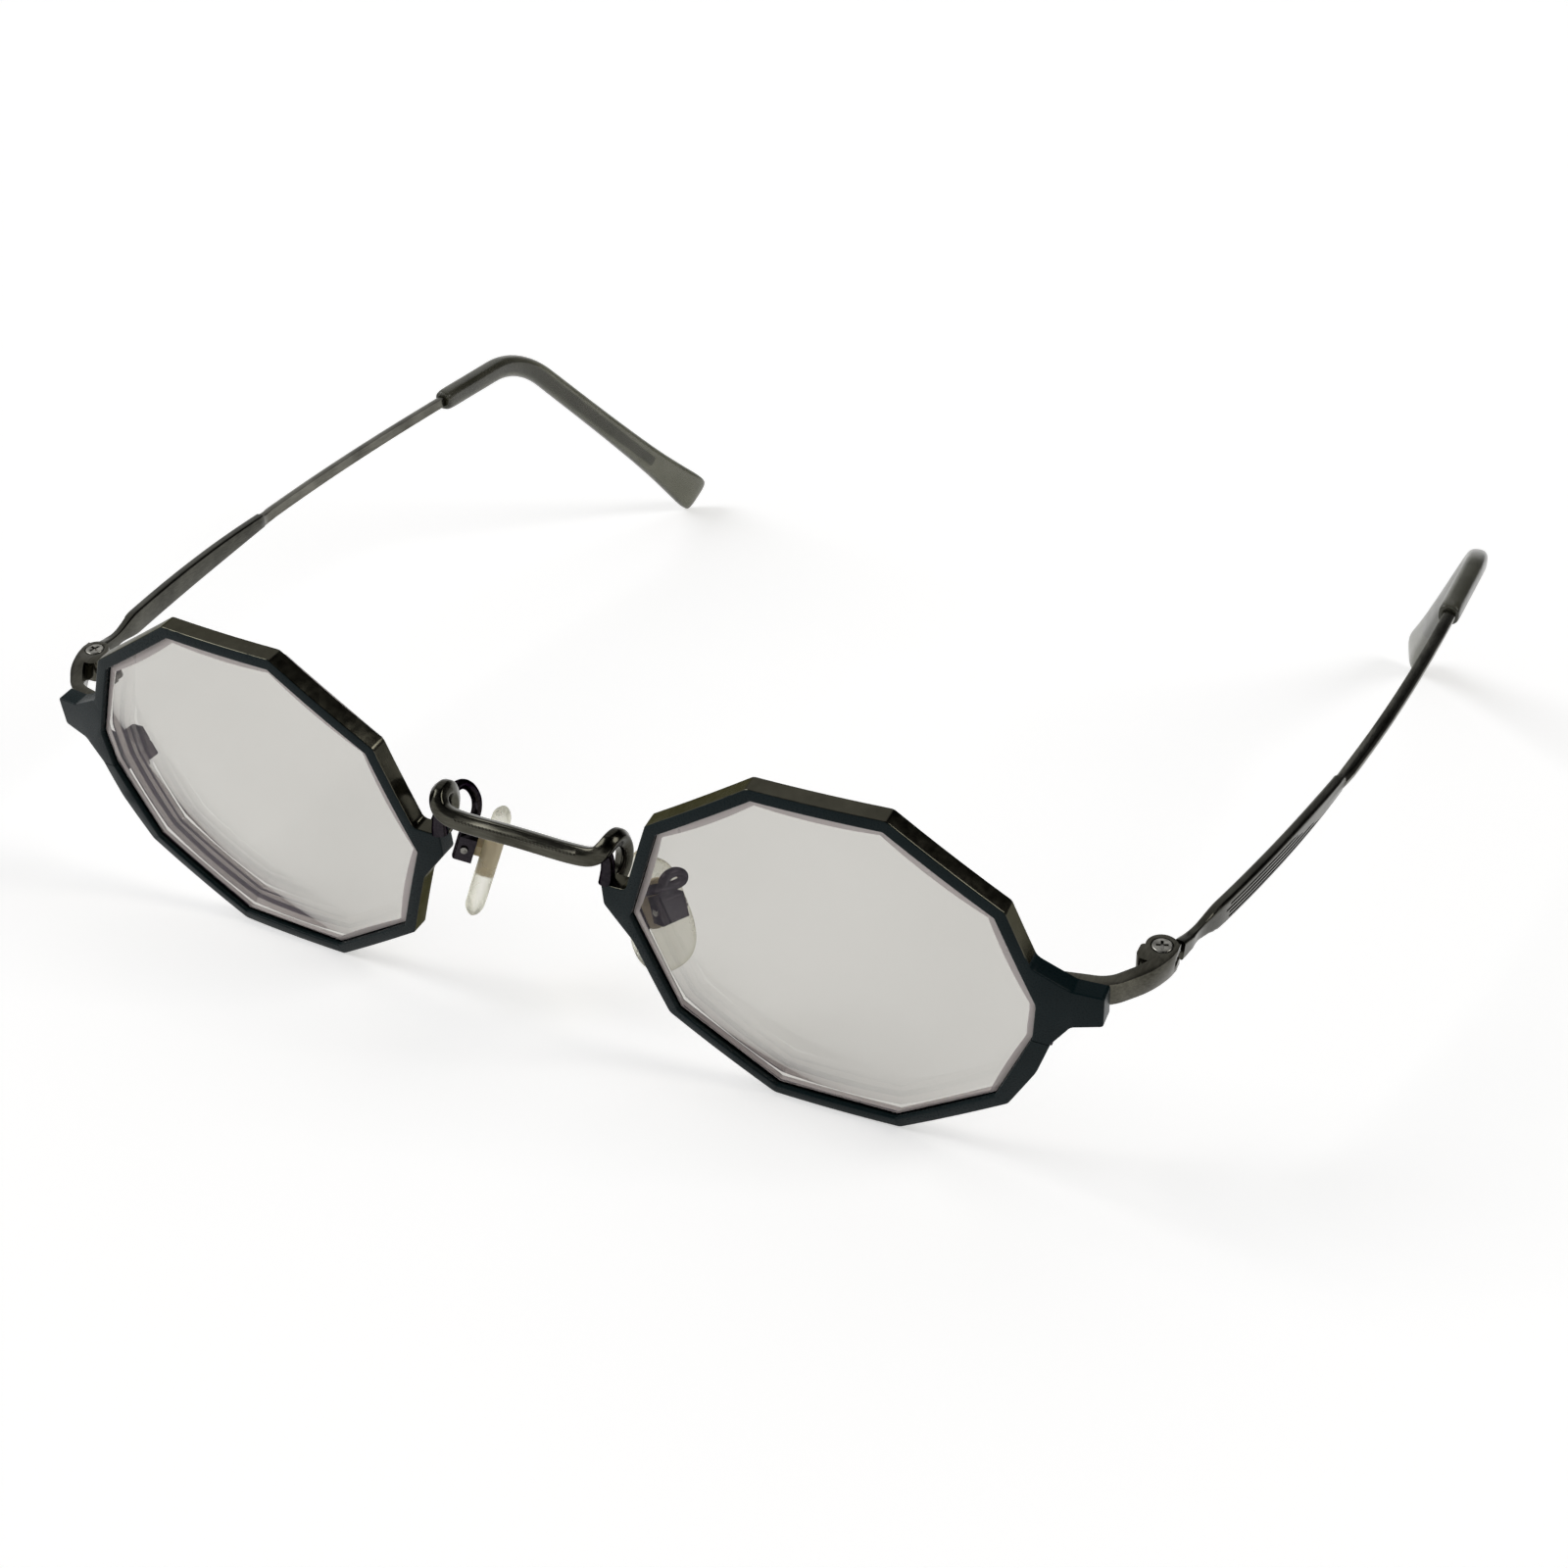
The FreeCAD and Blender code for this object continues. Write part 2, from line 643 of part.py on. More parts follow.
def make_bridge():
    """Bar whose ends curl over and down to the tabs, with a second strand beside each curl."""
    points = [bridge_point(out, back, up) for out, back, up, _ in bridge_shares]
    face = Vector(0, -1, bar_lean_share)
    half = []
    for index, point in enumerate(points):
        way = points[min(index + 1, len(points) - 1)] - points[max(index - 1, 0)]
        way.normalize()
        face = face - way * face.dot(way)
        half.append((point, way, face, bridge_shares[index][-1]))
    other = [(Vector(-point.x, point.y, point.z), Vector(way.x, -way.y, -way.z),
              Vector(-face.x, face.y, face.z), wide) for point, way, face, wide in half[1:]]
    wires = []
    for point, way, face, wide in other[::-1] + half:
        wires.append(section_wire(point, way, face, bar_thickness * (1 + wide) / 2,
                                  bar_width * wide, bar_edge_share * bar_thickness))
    bridge = Part.makeLoft(wires, True, True)
    for side in (1, -1):
        foot = Vector(side * curl_reach * strand_foot_share, rim_depth / 2, tab_top - strand_radius)
        top = Vector(side * curl_reach * strand_top_share, bar_back + curl_depth / 4,
                     bar_height + curl_rise / 3)
        bridge = bridge.fuse(rod(strand_radius, foot, top))
    return bridge


# Nose pads, in the frame of one pad: z up the pad, x from the nose to the box, y back

def pad_frame():
    azimuth = radians(pad_splay)
    flare = radians(pad_flare)
    outward = Vector(sin(azimuth) * cos(flare), -cos(azimuth) * cos(flare), sin(flare))
    up = Z_AXIS - outward * outward.z
    up.normalize()
    roll = radians(pad_roll)
    up = up * cos(roll) + up.cross(outward) * sin(roll)
    backward = up.cross(outward)
    matrix = FreeCAD.Matrix(outward.x, backward.x, up.x, 0, outward.y, backward.y, up.y, 0,
                            outward.z, backward.z, up.z, 0, 0, 0, 0, 1)
    place = Placement(matrix)
    place.Base = Vector(pad_out, pad_back, -pad_down)
    return place


pad_place = pad_frame()
pad_pivot = pad_thickness / 2 + box_gap + box_depth / 2


def pad_curve(inset, x):
    """Closed smooth outline of the pad, drawn in by an inset, at one depth."""
    wide = pad_width - 2 * inset
    tall = pad_length - 2 * inset
    points = [Vector(x, wide * y, tall * z - pad_hang) for y, z in pad_outline_shares]
    curve = Part.BSplineCurve()
    curve.interpolate(points, PeriodicFlag=True)
    return Part.Wire(curve.toShape())


def make_nose_pad():
    wires = [pad_curve(pad_thickness * inset, pad_thickness * x) for inset, x in pad_layer_shares]
    pad = Part.makeLoft(wires, True, False)
    return pad.cut(core_body())


def core_body():
    """Stiff plate inside the pad, with the boss that reaches into the box."""
    plate = Part.makeBox(core_thickness, core_width, core_length,
                         Vector(-core_thickness / 2, -core_width / 2, -core_length / 2))
    corners = [edge for edge in plate.Edges if edge.BoundBox.XLength > core_thickness / 2]
    plate = plate.makeFillet(core_corner_radius, corners)
    boss = Part.makeBox(pad_pivot + boss_half(), boss_width(), 2 * boss_half(),
                        Vector(0, -boss_width() / 2, -boss_half()))
    edges = [edge for edge in boss.Edges if edge.BoundBox.XMin > pad_pivot and
             edge.BoundBox.YLength > boss_half() / 2]
    boss = boss.makeFillet(boss_half() * boss_corner_share, edges)
    return plate.fuse(boss)


def boss_width():
    return box_width - 2 * box_wall - 2 * boss_clearance


def boss_half():
    return box_depth / 2 - box_wall - boss_clearance


def make_pad_core():
    hole = rod(pad_screw_radius + pad_screw_clearance, Vector(pad_pivot, -box_width, 0),
               Vector(pad_pivot, box_width, 0))
    return core_body().cut(hole)


def make_pad_box():
    low = pad_pivot - box_depth / 2
    box = Part.makeBox(box_depth, box_width, box_length, Vector(low, -box_width / 2, -box_length / 2))
    edges = [edge for edge in box.Edges if edge.BoundBox.XMin > low]
    box = box.makeFillet(box_corner_radius, edges)
    inner_width = box_width - 2 * box_wall
    inner_length = box_length - 2 * box_wall
    hollow = Part.makeBox(box_depth, inner_width, inner_length,
                          Vector(low - box_wall, -inner_width / 2, -inner_length / 2))
    hole = rod(pad_screw_radius, Vector(pad_pivot, -box_width, 0), Vector(pad_pivot, box_width, 0))
    return box.cut(hollow).cut(hole)


def make_pad_screw():
    half = box_width / 2
    shaft = rod(pad_screw_radius, Vector(pad_pivot, -half - box_wall / 2, 0),
                Vector(pad_pivot, half, 0))
    head = rod(pad_head_radius, Vector(pad_pivot, half, 0),
               Vector(pad_pivot, half + pad_head_height, 0))
    slot = Part.makeBox(pad_head_radius * 4, pad_head_height, lock_slot_width,
                        Vector(pad_pivot - pad_head_radius * 2, half + pad_head_height / 2,
                               -lock_slot_width / 2))
    return shaft.fuse(head).cut(slot)


def make_pad_arm():
    """Wire from the back of the rim's nose side, once round a loop and down to the box."""
    nose = lens_width / 2 + rim_width / 2
    depth = nose ** 2 / 2 / base_radius + rim_depth - seat_bite
    root = lens_place.multVec(Vector(-nose, depth, arm_root_height))
    end = pad_place.multVec(Vector(pad_pivot, 0, box_length / 2 - seat_bite))
    middle = end + Vector(*arm_loop_middle_shares) * arm_loop_radius
    loop = [middle + Vector(*share) * arm_loop_radius for share in arm_loop_shares]
    lead = root + (loop[0] - root) * arm_lead_share + Z_AXIS * arm_lead_rise
    curve = Part.BSplineCurve()
    down = pad_place.Rotation.multVec(Z_AXIS) * -arm_loop_radius
    curve.interpolate([root, lead, *loop, end], InitialTangent=Y_AXIS * arm_loop_radius,
                      FinalTangent=down)
    return round_pipe(Part.Wire(curve.toShape()), arm_radius)


# Assembly

lens_pieces = {"rim": make_rim, "lens": make_lens, "closing_block_upper": make_upper_block,
               "closing_block_lower": make_lower_block, "closing_screw": make_lock_screw}
hinge_pieces = {"endpiece": make_endpiece, "hinge_screw": make_hinge_screw}
pad_pieces = {"pad_box": make_pad_box, "pad_screw": make_pad_screw, "nose_pad": make_nose_pad,
              "pad_core": make_pad_core}
# soldered feet and the seats that trim them
seats = (("endpiece", "rim"), ("pad_arm", "rim"), ("pad_arm", "pad_box"))
front_pieces = {"temple": make_temple, "temple_tip": make_temple_tip, "pad_arm": make_pad_arm}


def placed(shape, place):
    shape = shape.copy()
    shape.Placement = place.multiply(shape.Placement)
    return shape


def both_sides():
    """Every piece in the frame of the front, the right side mirrored from the left."""
    pieces = {}
    for makers, place in ((lens_pieces, lens_place), (hinge_pieces, hinge_place),
                          (pad_pieces, pad_place), (front_pieces, Placement())):
        for name, make in makers.items():
            left = placed(make(), place)
            pieces["left_" + name] = left
            pieces["right_" + name] = left.mirror(Vector(0, 0, 0), X_AXIS)
    pieces["bridge"] = make_bridge()
    for side in ("left_", "right_"):
        pieces["bridge"] = pieces["bridge"].cut(pieces[side + "rim"])
        for name, seat in seats:
            pieces[side + name] = pieces[side + name].cut(pieces[side + seat])
    return pieces


def stand_place(pieces):
    """Place that lays the rims and the temple tips on one level surface."""
    rim = pieces["left_rim"]
    tip = pieces["left_temple_tip"]
    place = Placement()
    for _ in range(leveling_rounds):
        low_rim = placed(rim, place).BoundBox
        low_tip = placed(tip, place).BoundBox
        reach = tail_foot(tip, place) - rim_foot(rim, place)
        rise = low_rim.ZMin - low_tip.ZMin
        place = Placement(Vector(), Rotation(X_AXIS, degrees(atan2(rise, reach)))).multiply(place)
    return place


def rim_foot(rim, place):
    """How far back the rim's lowest point lies."""
    box = placed(rim, place).BoundBox
    return lowest_back(placed(rim, place), box.ZMin)


def lowest_back(shape, level):
    points = shape.tessellate(rim_edge_radius)[0]
    return min(points, key=lambda point: point.z).y


def tail_foot(tip, place):
    shape = placed(tip, place)
    return lowest_back(shape, shape.BoundBox.ZMin)


leveling_rounds = 4


def main():
    os.makedirs("parts", exist_ok=True)
    pieces = both_sides()
    stand = stand_place(pieces)
    pieces = {name: placed(shape, stand) for name, shape in pieces.items()}
    box = Part.makeCompound(list(pieces.values())).BoundBox
    shift = Placement(Vector(0, -(box.YMin + box.YMax) / 2, -box.ZMin), Rotation())
    for name, shape in pieces.items():
        shape = placed(shape, shift)
        shape.exportStep("parts/" + name + ".step")
        print(name, shape.isValid(), len(shape.Solids), round(shape.Volume, 2))
    whole = shift.multiply(stand)
    print("stand", whole.Base, degrees(whole.Rotation.Angle))


main()
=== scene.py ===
"""Prescription glasses with ten-sided metal rims, on a white table.

The pieces are made in millimetres in the frame of the front: the rims stand upright at y = 0, the
front faces -Y and +X is the wearer's left. Each piece of the left side is then leaned onto the
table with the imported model, and copied to the right side.
"""
import bmesh
import bpy
import json
from math import atan2, cos, pi, radians, sin, sqrt, tan
from mathutils import Matrix, Vector


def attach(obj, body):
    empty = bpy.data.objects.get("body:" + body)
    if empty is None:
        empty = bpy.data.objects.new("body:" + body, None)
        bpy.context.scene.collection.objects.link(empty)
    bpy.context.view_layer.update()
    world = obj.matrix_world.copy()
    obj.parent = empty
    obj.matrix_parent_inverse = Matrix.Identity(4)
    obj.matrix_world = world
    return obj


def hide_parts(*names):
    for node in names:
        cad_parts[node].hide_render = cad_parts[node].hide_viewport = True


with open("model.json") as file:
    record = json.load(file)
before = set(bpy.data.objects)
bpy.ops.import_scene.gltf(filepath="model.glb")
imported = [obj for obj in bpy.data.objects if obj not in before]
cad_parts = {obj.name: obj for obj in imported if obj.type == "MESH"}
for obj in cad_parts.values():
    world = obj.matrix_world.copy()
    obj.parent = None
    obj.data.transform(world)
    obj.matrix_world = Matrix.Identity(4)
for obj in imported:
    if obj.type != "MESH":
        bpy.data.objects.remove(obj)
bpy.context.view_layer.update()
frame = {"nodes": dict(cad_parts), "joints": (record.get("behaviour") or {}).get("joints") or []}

X_AXIS = Vector((1, 0, 0))
Z_AXIS = Vector((0, 0, 1))

# Sizes of the front, in millimetres
lens_center = 33.6
lens_half_width = 21.0
lens_half_height = 19.3
lens_turn = radians(2.65)
base_radius = 175.0
rim_width = 1.3
rim_depth = 1.9
hinge = Vector((63.2, 12.55, 2.35))
hinge_tilt = radians(3)

# The lens: depth of its front and back on its axis, radius of its hollow back and of the blank,
# room to the rim, depth of its bevels in front and behind, and the painted reflection stripes on its
# polished wall
lens_front = 0.45
lens_back = 1.95
back_radius = 80.0
blank_radius = 24.3
lens_clearance = 0.03
front_bevel = 0.28
back_bevel = 0.35
wall_start = 1.85
reflection_stripe_step = 1.15

# The temple's line: where it starts, how far it reaches back, bows out and drops, from which share
# of the reach it is straight, and the bend and the tail behind the ear
temple_start = (63.8, 12.55, 2.02)
temple_reach = 103.0
temple_bow = 8.05
temple_drop = 19.2
straight_from = 0.85
bend_radius = 17.0
tail_length = 51.0
tail_fall = radians(54.3)
tail_inward = radians(12.8)

# The bridge in the frame of its bar: y and z of its middle, and the x, y and z that its steps are
# shares of
bridge_middle = (1.05, 5.75)
bridge_span = (10, 3.5, 1.5)

# Straight pieces between two knots when a path is measured
path_steps = 40

# The lean of the whole, from the hinge screw's axis
fold = next(joint for joint in frame["joints"] if joint["name"] == "left_temple_fold")
lean = atan2(-fold["axis"][1], fold["axis"][2]) + hinge_tilt
tilted = Matrix.Rotation(lean, 4, "X")
stand_place = (Matrix.Translation(Vector(fold["pos_m"]) - tilted @ hinge / 1000) @ tilted
               @ Matrix.Scale(0.001, 4))
lens_place = Matrix.Translation((lens_center, 0, 0)) @ Matrix.Rotation(lens_turn, 4, "Z")
hinge_place = Matrix.Translation(hinge) @ Matrix.Rotation(-hinge_tilt, 4, "X")


# Handling

def put_down():
    """Leave edit mode and let go of everything."""
    if bpy.context.object and bpy.context.object.mode != "OBJECT":
        bpy.ops.object.mode_set(mode="OBJECT")
    bpy.ops.object.select_all(action="DESELECT")


def take(piece):
    """Select one piece alone, and work on it."""
    put_down()
    piece.select_set(True)
    bpy.context.view_layer.objects.active = piece


def open_mesh(piece):
    """Edit mode with nothing selected."""
    take(piece)
    bpy.ops.object.mode_set(mode="EDIT")
    bpy.ops.mesh.select_mode(type="VERT")
    bpy.ops.mesh.select_all(action="DESELECT")


def pick_points(test):
    bpy.ops.mesh.select_mode(type="VERT")
    mesh = bmesh.from_edit_mesh(bpy.context.object.data)
    for point in mesh.verts:
        point.select_set(test(point.co))
    mesh.select_flush(True)
    bmesh.update_edit_mesh(bpy.context.object.data)


def pick_faces(test):
    bpy.ops.mesh.select_mode(type="FACE")
    bpy.ops.mesh.select_all(action="DESELECT")
    mesh = bmesh.from_edit_mesh(bpy.context.object.data)
    for face in mesh.faces:
        face.select_set(test(face))
    bmesh.update_edit_mesh(bpy.context.object.data)


def at_mark(co, mark):
    """Whether a point lies in a bar's ring at a mark."""
    return abs(co.x - mark) < 0.001


def slice_all(point, normal, **options):
    bpy.ops.mesh.select_all(action="SELECT")
    bpy.ops.mesh.bisect(plane_co=point, plane_no=normal, **options)


def extrude(way):
    bpy.ops.mesh.extrude_region_move(TRANSFORM_OT_translate={"value": way})


def face_outwards(piece):
    open_mesh(piece)
    bpy.ops.mesh.select_all(action="SELECT")
    bpy.ops.mesh.remove_doubles(threshold=0.0005)
    bpy.ops.mesh.normals_make_consistent(inside=False)
    put_down()


def settle(piece, place=None):
    """Give a piece its place for good, so that its object stays at the origin."""
    take(piece)
    piece.matrix_world = place or Matrix.Identity(4)
    bpy.ops.object.transform_apply(location=True, rotation=True, scale=True)


def apply_modifier(piece, kind, **options):
    take(piece)
    modifier = piece.modifiers.new(kind, kind)
    for name, value in options.items():
        setattr(modifier, name, value)
    bpy.ops.object.modifier_apply(modifier=modifier.name)


def ease_edges(piece, width, angle, segments=2):
    apply_modifier(piece, "BEVEL", width=width, segments=segments, limit_method="ANGLE",
                   angle_limit=radians(angle), use_clamp_overlap=True)


def unite(piece, other, operation="UNION"):
    """Join another solid to a piece, or take it away, and use it up."""
    apply_modifier(piece, "BOOLEAN", operation=operation, solver="EXACT", object=other)
    bpy.data.objects.remove(other)


def smooth(piece, angle):
    take(piece)
    bpy.ops.object.shade_smooth_by_angle(angle=radians(angle))


def paint(piece, *finishes):
    piece.data.materials.clear()
    for finish in finishes:
        piece.data.materials.append(finish)


def keep(piece, body, slot, *nodes):
    """Finish a piece: the body it rides on and the nodes it stands for; the material slot is not
    used.
    """
    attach(piece, body)
    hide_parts(*nodes)


def mirrored(piece, name):
    """Copy for the right side, with its own mesh."""
    put_down()
    other = bpy.data.objects.new(name, piece.data.copy())
    bpy.context.collection.objects.link(other)
    take(other)
    other.scale = (-1, 1, 1)
    bpy.ops.object.transform_apply(scale=True)
    bpy.ops.object.mode_set(mode="EDIT")
    bpy.ops.mesh.select_all(action="SELECT")
    bpy.ops.mesh.normals_make_consistent(inside=False)
    put_down()
    return other


def both_sides(piece, body, slot, node):
    """Keep a left piece, and its mirror image for the right side."""
    other = mirrored(piece, piece.name.replace("left_", "right_"))
    keep(piece, body, slot, "left_" + node)
    keep(other, body.replace("left_", "right_"), slot, "right_" + node)


def welded_copy(node, name):
    """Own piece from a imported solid, welded and with its flats joined."""
    put_down()
    piece = bpy.data.objects.new(name, frame["nodes"][node].data.copy())
    bpy.context.collection.objects.link(piece)
    take(piece)
    bpy.ops.mesh.customdata_custom_splitnormals_clear()
    open_mesh(piece)
    bpy.ops.mesh.select_all(action="SELECT")
    bpy.ops.mesh.remove_doubles(threshold=0.000002)
    bpy.ops.mesh.dissolve_limited(angle_limit=radians(0.3))
    put_down()
    return piece


def straight_bar(name, width, height, corner, steps, marks):
    """Bar along X with rounded edges, cut into rings at the marks."""
    put_down()
    bpy.ops.mesh.primitive_plane_add(size=1, location=(0, 0, 0), rotation=(0, pi / 2, 0))
    piece = bpy.context.object
    piece.name = name
    bpy.ops.object.transform_apply(location=True, rotation=True, scale=True)
    bpy.ops.object.mode_set(mode="EDIT")
    bpy.ops.mesh.select_all(action="SELECT")
    bpy.ops.transform.resize(value=(1, width, height), center_override=(0, 0, 0))
    bpy.ops.mesh.bevel(offset=corner, segments=steps, affect="VERTICES")
    bpy.ops.mesh.select_all(action="SELECT")
    bpy.ops.transform.translate(value=(marks[0], 0, 0))
    extrude((marks[-1] - marks[0], 0, 0))
    for mark in marks[1:-1]:
        slice_all((mark, 0, 0), (1, 0, 0))
    bpy.ops.mesh.select_all(action="SELECT")
    bpy.ops.mesh.normals_make_consistent(inside=False)
    put_down()
    return piece


def shape_ring(mark, width, height, roundness=0.0):
    """Bring one ring of the bar to its size, rounder where it is a wire."""
    pick_points(lambda co: at_mark(co, mark))
    if roundness:
        bpy.ops.transform.tosphere(value=roundness)
    mesh = bmesh.from_edit_mesh(bpy.context.object.data)
    ring = [point.co for point in mesh.verts if point.select]
    wide = max(co.y for co in ring) - min(co.y for co in ring)
    tall = max(co.z for co in ring) - min(co.z for co in ring)
    bpy.ops.transform.resize(value=(1, width / wide, height / tall), center_override=(mark, 0, 0))


def bend_along(piece, path):
    """Bend a piece that is drawn along X to a path."""
    apply_modifier(piece, "CURVE", object=path, deform_axis="POS_X")


def between(pairs, mark):
    """Value at a mark, from a table of marks and values."""
    for (first, low), (second, high) in zip(pairs, pairs[1:]):
        if mark <= second:
            share = max(mark - first, 0) / (second - first)
            return low + (high - low) * share
    return pairs[-1][1]


# Paths

def new_path(name, knots):
    """Smooth curve through knots, each a point with the ends of its two handles."""
    put_down()
    bpy.ops.curve.primitive_bezier_curve_add(location=(0, 0, 0))
    path = bpy.context.object
    path.name = name
    path.data.dimensions = "3D"
    path.data.twist_mode = "Z_UP"
    path.data.resolution_u = 24
    spline = path.data.splines[0]
    spline.bezier_points.add(len(knots) - 2)
    for point, (co, before, after) in zip(spline.bezier_points, knots):
        point.handle_left_type = "FREE"
        point.handle_right_type = "FREE"
        point.co = co
        point.handle_left = before
        point.handle_right = after
    return path


def knots_through(points, directions):
    """Knots whose handles reach a third of the way to their neighbours."""
    knots = []
    for index, (point, way) in enumerate(zip(points, directions)):
        before = (point - points[max(index - 1, 0)]).length / 3
        after = (points[min(index + 1, len(points) - 1)] - point).length / 3
        knots.append((point, point - way * before, point + way * after))
    return knots


def ways_along(points):
    """Direction at each point, from the point before it to the one after."""
    last = len(points) - 1
    return [(points[min(index + 1, last)] - points[max(index - 1, 0)]).normalized()
            for index in range(len(points))]


def path_marks(knots):
    """Samples of a path: distance from its start, and the point there."""
    samples = [(0.0, knots[0][0])]
    for (first, _, leave), (second, enter, _) in zip(knots, knots[1:]):
        for step in range(1, path_steps + 1):
            t = step / path_steps
            point = ((1 - t) ** 3 * first + 3 * (1 - t) ** 2 * t * leave
                     + 3 * (1 - t) * t ** 2 * enter + t ** 3 * second)
            last, before = samples[-1]
            samples.append((last + (point - before).length, point))
    return samples


def wire(name, points, radius, swells):
    """Round wire through points, thicker or thinner at each by its swell."""
    put_down()
    path = new_path(name, knots_through(points, ways_along(points)))
    path.data.bevel_depth = radius
    path.data.bevel_resolution = 8
    path.data.use_fill_caps = True
    path.data.resolution_u = 12
    for point, swell in zip(path.data.splines[0].bezier_points, swells):
        point.radius = swell
    take(path)
    bpy.ops.object.convert(target="MESH")
    face_outwards(path)
    smooth(path, 40)
    return path


# Finishes

def new_finish(name):
    finish = bpy.data.materials.new(name)
    finish.use_nodes = True
    nodes = finish.node_tree.nodes
    return finish, nodes, finish.node_tree.links, nodes["Principled BSDF"]


def noise(nodes, links, scale, stretch=(1, 1, 1), detail=4.0):
    """Noise on the piece's own coordinates, in features per millimetre."""
    place = nodes.new("ShaderNodeTexCoord")
    mapping = nodes.new("ShaderNodeMapping")
    mapping.inputs["Scale"].default_value = [axis * 1000 for axis in stretch]
    texture = nodes.new("ShaderNodeTexNoise")
    texture.inputs["Scale"].default_value = scale
    texture.inputs["Detail"].default_value = detail
    links.new(place.outputs["Object"], mapping.inputs["Vector"])
    links.new(mapping.outputs["Vector"], texture.inputs["Vector"])
    return texture.outputs["Fac"]


def ramp(nodes, links, source, *stops):
    """Colours over a value, as (place, colour) stops."""
    node = nodes.new("ShaderNodeValToRGB")
    while len(node.color_ramp.elements) < len(stops):
        node.color_ramp.elements.new(0.5)
    for element, (place, colour) in zip(node.color_ramp.elements, stops):
        element.position = place
        element.color = (*colour, 1)
    links.new(source, node.inputs["Fac"])
    return node.outputs["Color"]


def shades(nodes, links, source, low, high, from_low=0.3, from_high=0.7):
    """Number between low and high over a value."""
    node = nodes.new("ShaderNodeMapRange")
    node.inputs["From Min"].default_value = from_low
    node.inputs["From Max"].default_value = from_high
    node.inputs["To Min"].default_value = low
    node.inputs["To Max"].default_value = high
    links.new(source, node.inputs["Value"])
    return node.outputs["Result"]


def relief(nodes, links, source, depth, shader):
    """Bump of a depth in millimetres."""
    node = nodes.new("ShaderNodeBump")
    node.inputs["Strength"].default_value = 1
    node.inputs["Distance"].default_value = depth / 1000
    links.new(source, node.inputs["Height"])
    links.new(node.outputs["Normal"], shader.inputs["Normal"])


def lacquer_finish(name, dark, light):
    """Satin lacquer over metal, with a faint orange peel."""
    finish, nodes, links, shader = new_finish(name)
    cloud = noise(nodes, links, 0.16, detail=6)
    grain = noise(nodes, links, 5.0, detail=3)
    links.new(ramp(nodes, links, cloud, (0.35, dark), (0.68, light)), shader.inputs["Base Color"])
    links.new(shades(nodes, links, grain, 0.26, 0.3), shader.inputs["Roughness"])
    shader.inputs["Specular IOR Level"].default_value = 0.07
    shader.inputs["Coat Weight"].default_value = 0.05
    shader.inputs["Coat Roughness"].default_value = 0.06
    relief(nodes, links, grain, 0.0006, shader)
    return finish


def brushed_finish(name, dark, light, stretch, rough, depth=0.002, edge=(1, 1, 1)):
    """Antique gunmetal, finely brushed along one direction, darker in patches and edge on."""
    finish, nodes, links, shader = new_finish(name)
    lines = noise(nodes, links, 6.0, stretch)
    patches = noise(nodes, links, 0.18, detail=5)
    blend = nodes.new("ShaderNodeMix")
    blend.inputs["Factor"].default_value = 0.65
    links.new(lines, blend.inputs[2])
    links.new(patches, blend.inputs[3])
    links.new(ramp(nodes, links, blend.outputs[0], (0.36, dark), (0.64, light)),
              shader.inputs["Base Color"])
    links.new(shades(nodes, links, lines, rough - 0.04, rough + 0.05), shader.inputs["Roughness"])
    shader.inputs["Metallic"].default_value = 1
    shader.inputs["Specular Tint"].default_value = (*edge, 1)
    relief(nodes, links, lines, depth, shader)
    return finish


def steel_finish(name, dark, light):
    """Turned steel with faint marks in its colour and gloss."""
    finish, nodes, links, shader = new_finish(name)
    marks = noise(nodes, links, 1.6, detail=5)
    links.new(ramp(nodes, links, marks, (0.36, dark), (0.6, light)), shader.inputs["Base Color"])
    links.new(shades(nodes, links, marks, 0.2, 0.32), shader.inputs["Roughness"])
    shader.inputs["Metallic"].default_value = 1
    relief(nodes, links, marks, 0.002, shader)
    return finish


def let_light_through(nodes, links, shader, tint):
    """Lamps and soft light pass a clear piece, so that its shadow stays pale."""
    out = nodes["Material Output"]
    path = nodes.new("ShaderNodeLightPath")
    either = nodes.new("ShaderNodeMath")
    either.operation = "MAXIMUM"
    clear = nodes.new("ShaderNodeBsdfTransparent")
    clear.inputs["Color"].default_value = (*tint, 1)
    mix = nodes.new("ShaderNodeMixShader")
    links.new(path.outputs["Is Shadow Ray"], either.inputs[0])
    links.new(path.outputs["Is Diffuse Ray"], either.inputs[1])
    links.new(either.outputs[0], mix.inputs["Fac"])
    links.new(shader.outputs["BSDF"], mix.inputs[1])
    links.new(clear.outputs["BSDF"], mix.inputs[2])
    links.new(mix.outputs["Shader"], out.inputs["Surface"])


def clear_finish(name, dark, light, rough, index, scale, tint, transmission=1.0):
    """Tinted clear material with a faint cloud in its colour and gloss."""
    finish, nodes, links, shader = new_finish(name)
    cloud = noise(nodes, links, scale, detail=3)
    links.new(ramp(nodes, links, cloud, (0.3, dark), (0.7, light)), shader.inputs["Base Color"])
    links.new(shades(nodes, links, cloud, rough * 0.8, rough * 1.2), shader.inputs["Roughness"])
    shader.inputs["IOR"].default_value = index
    shader.inputs["Transmission Weight"].default_value = transmission
    let_light_through(nodes, links, shader, tint)
    return finish


def deepen_edge(finish, colour):
    """Clear soft plastic looks deeper in colour where it is seen edge on."""
    nodes, links = finish.node_tree.nodes, finish.node_tree.links
    base = nodes["Principled BSDF"].inputs["Base Color"]
    edge = nodes.new("ShaderNodeLayerWeight")
    edge.inputs["Blend"].default_value = 0.3
    mix = nodes.new("ShaderNodeMix")
    mix.data_type = "RGBA"
    links.new(edge.outputs["Facing"], mix.inputs[0])
    links.new(base.links[0].from_socket, mix.inputs[6])
    mix.inputs[7].default_value = (*colour, 1)
    links.new(mix.outputs[2], base)


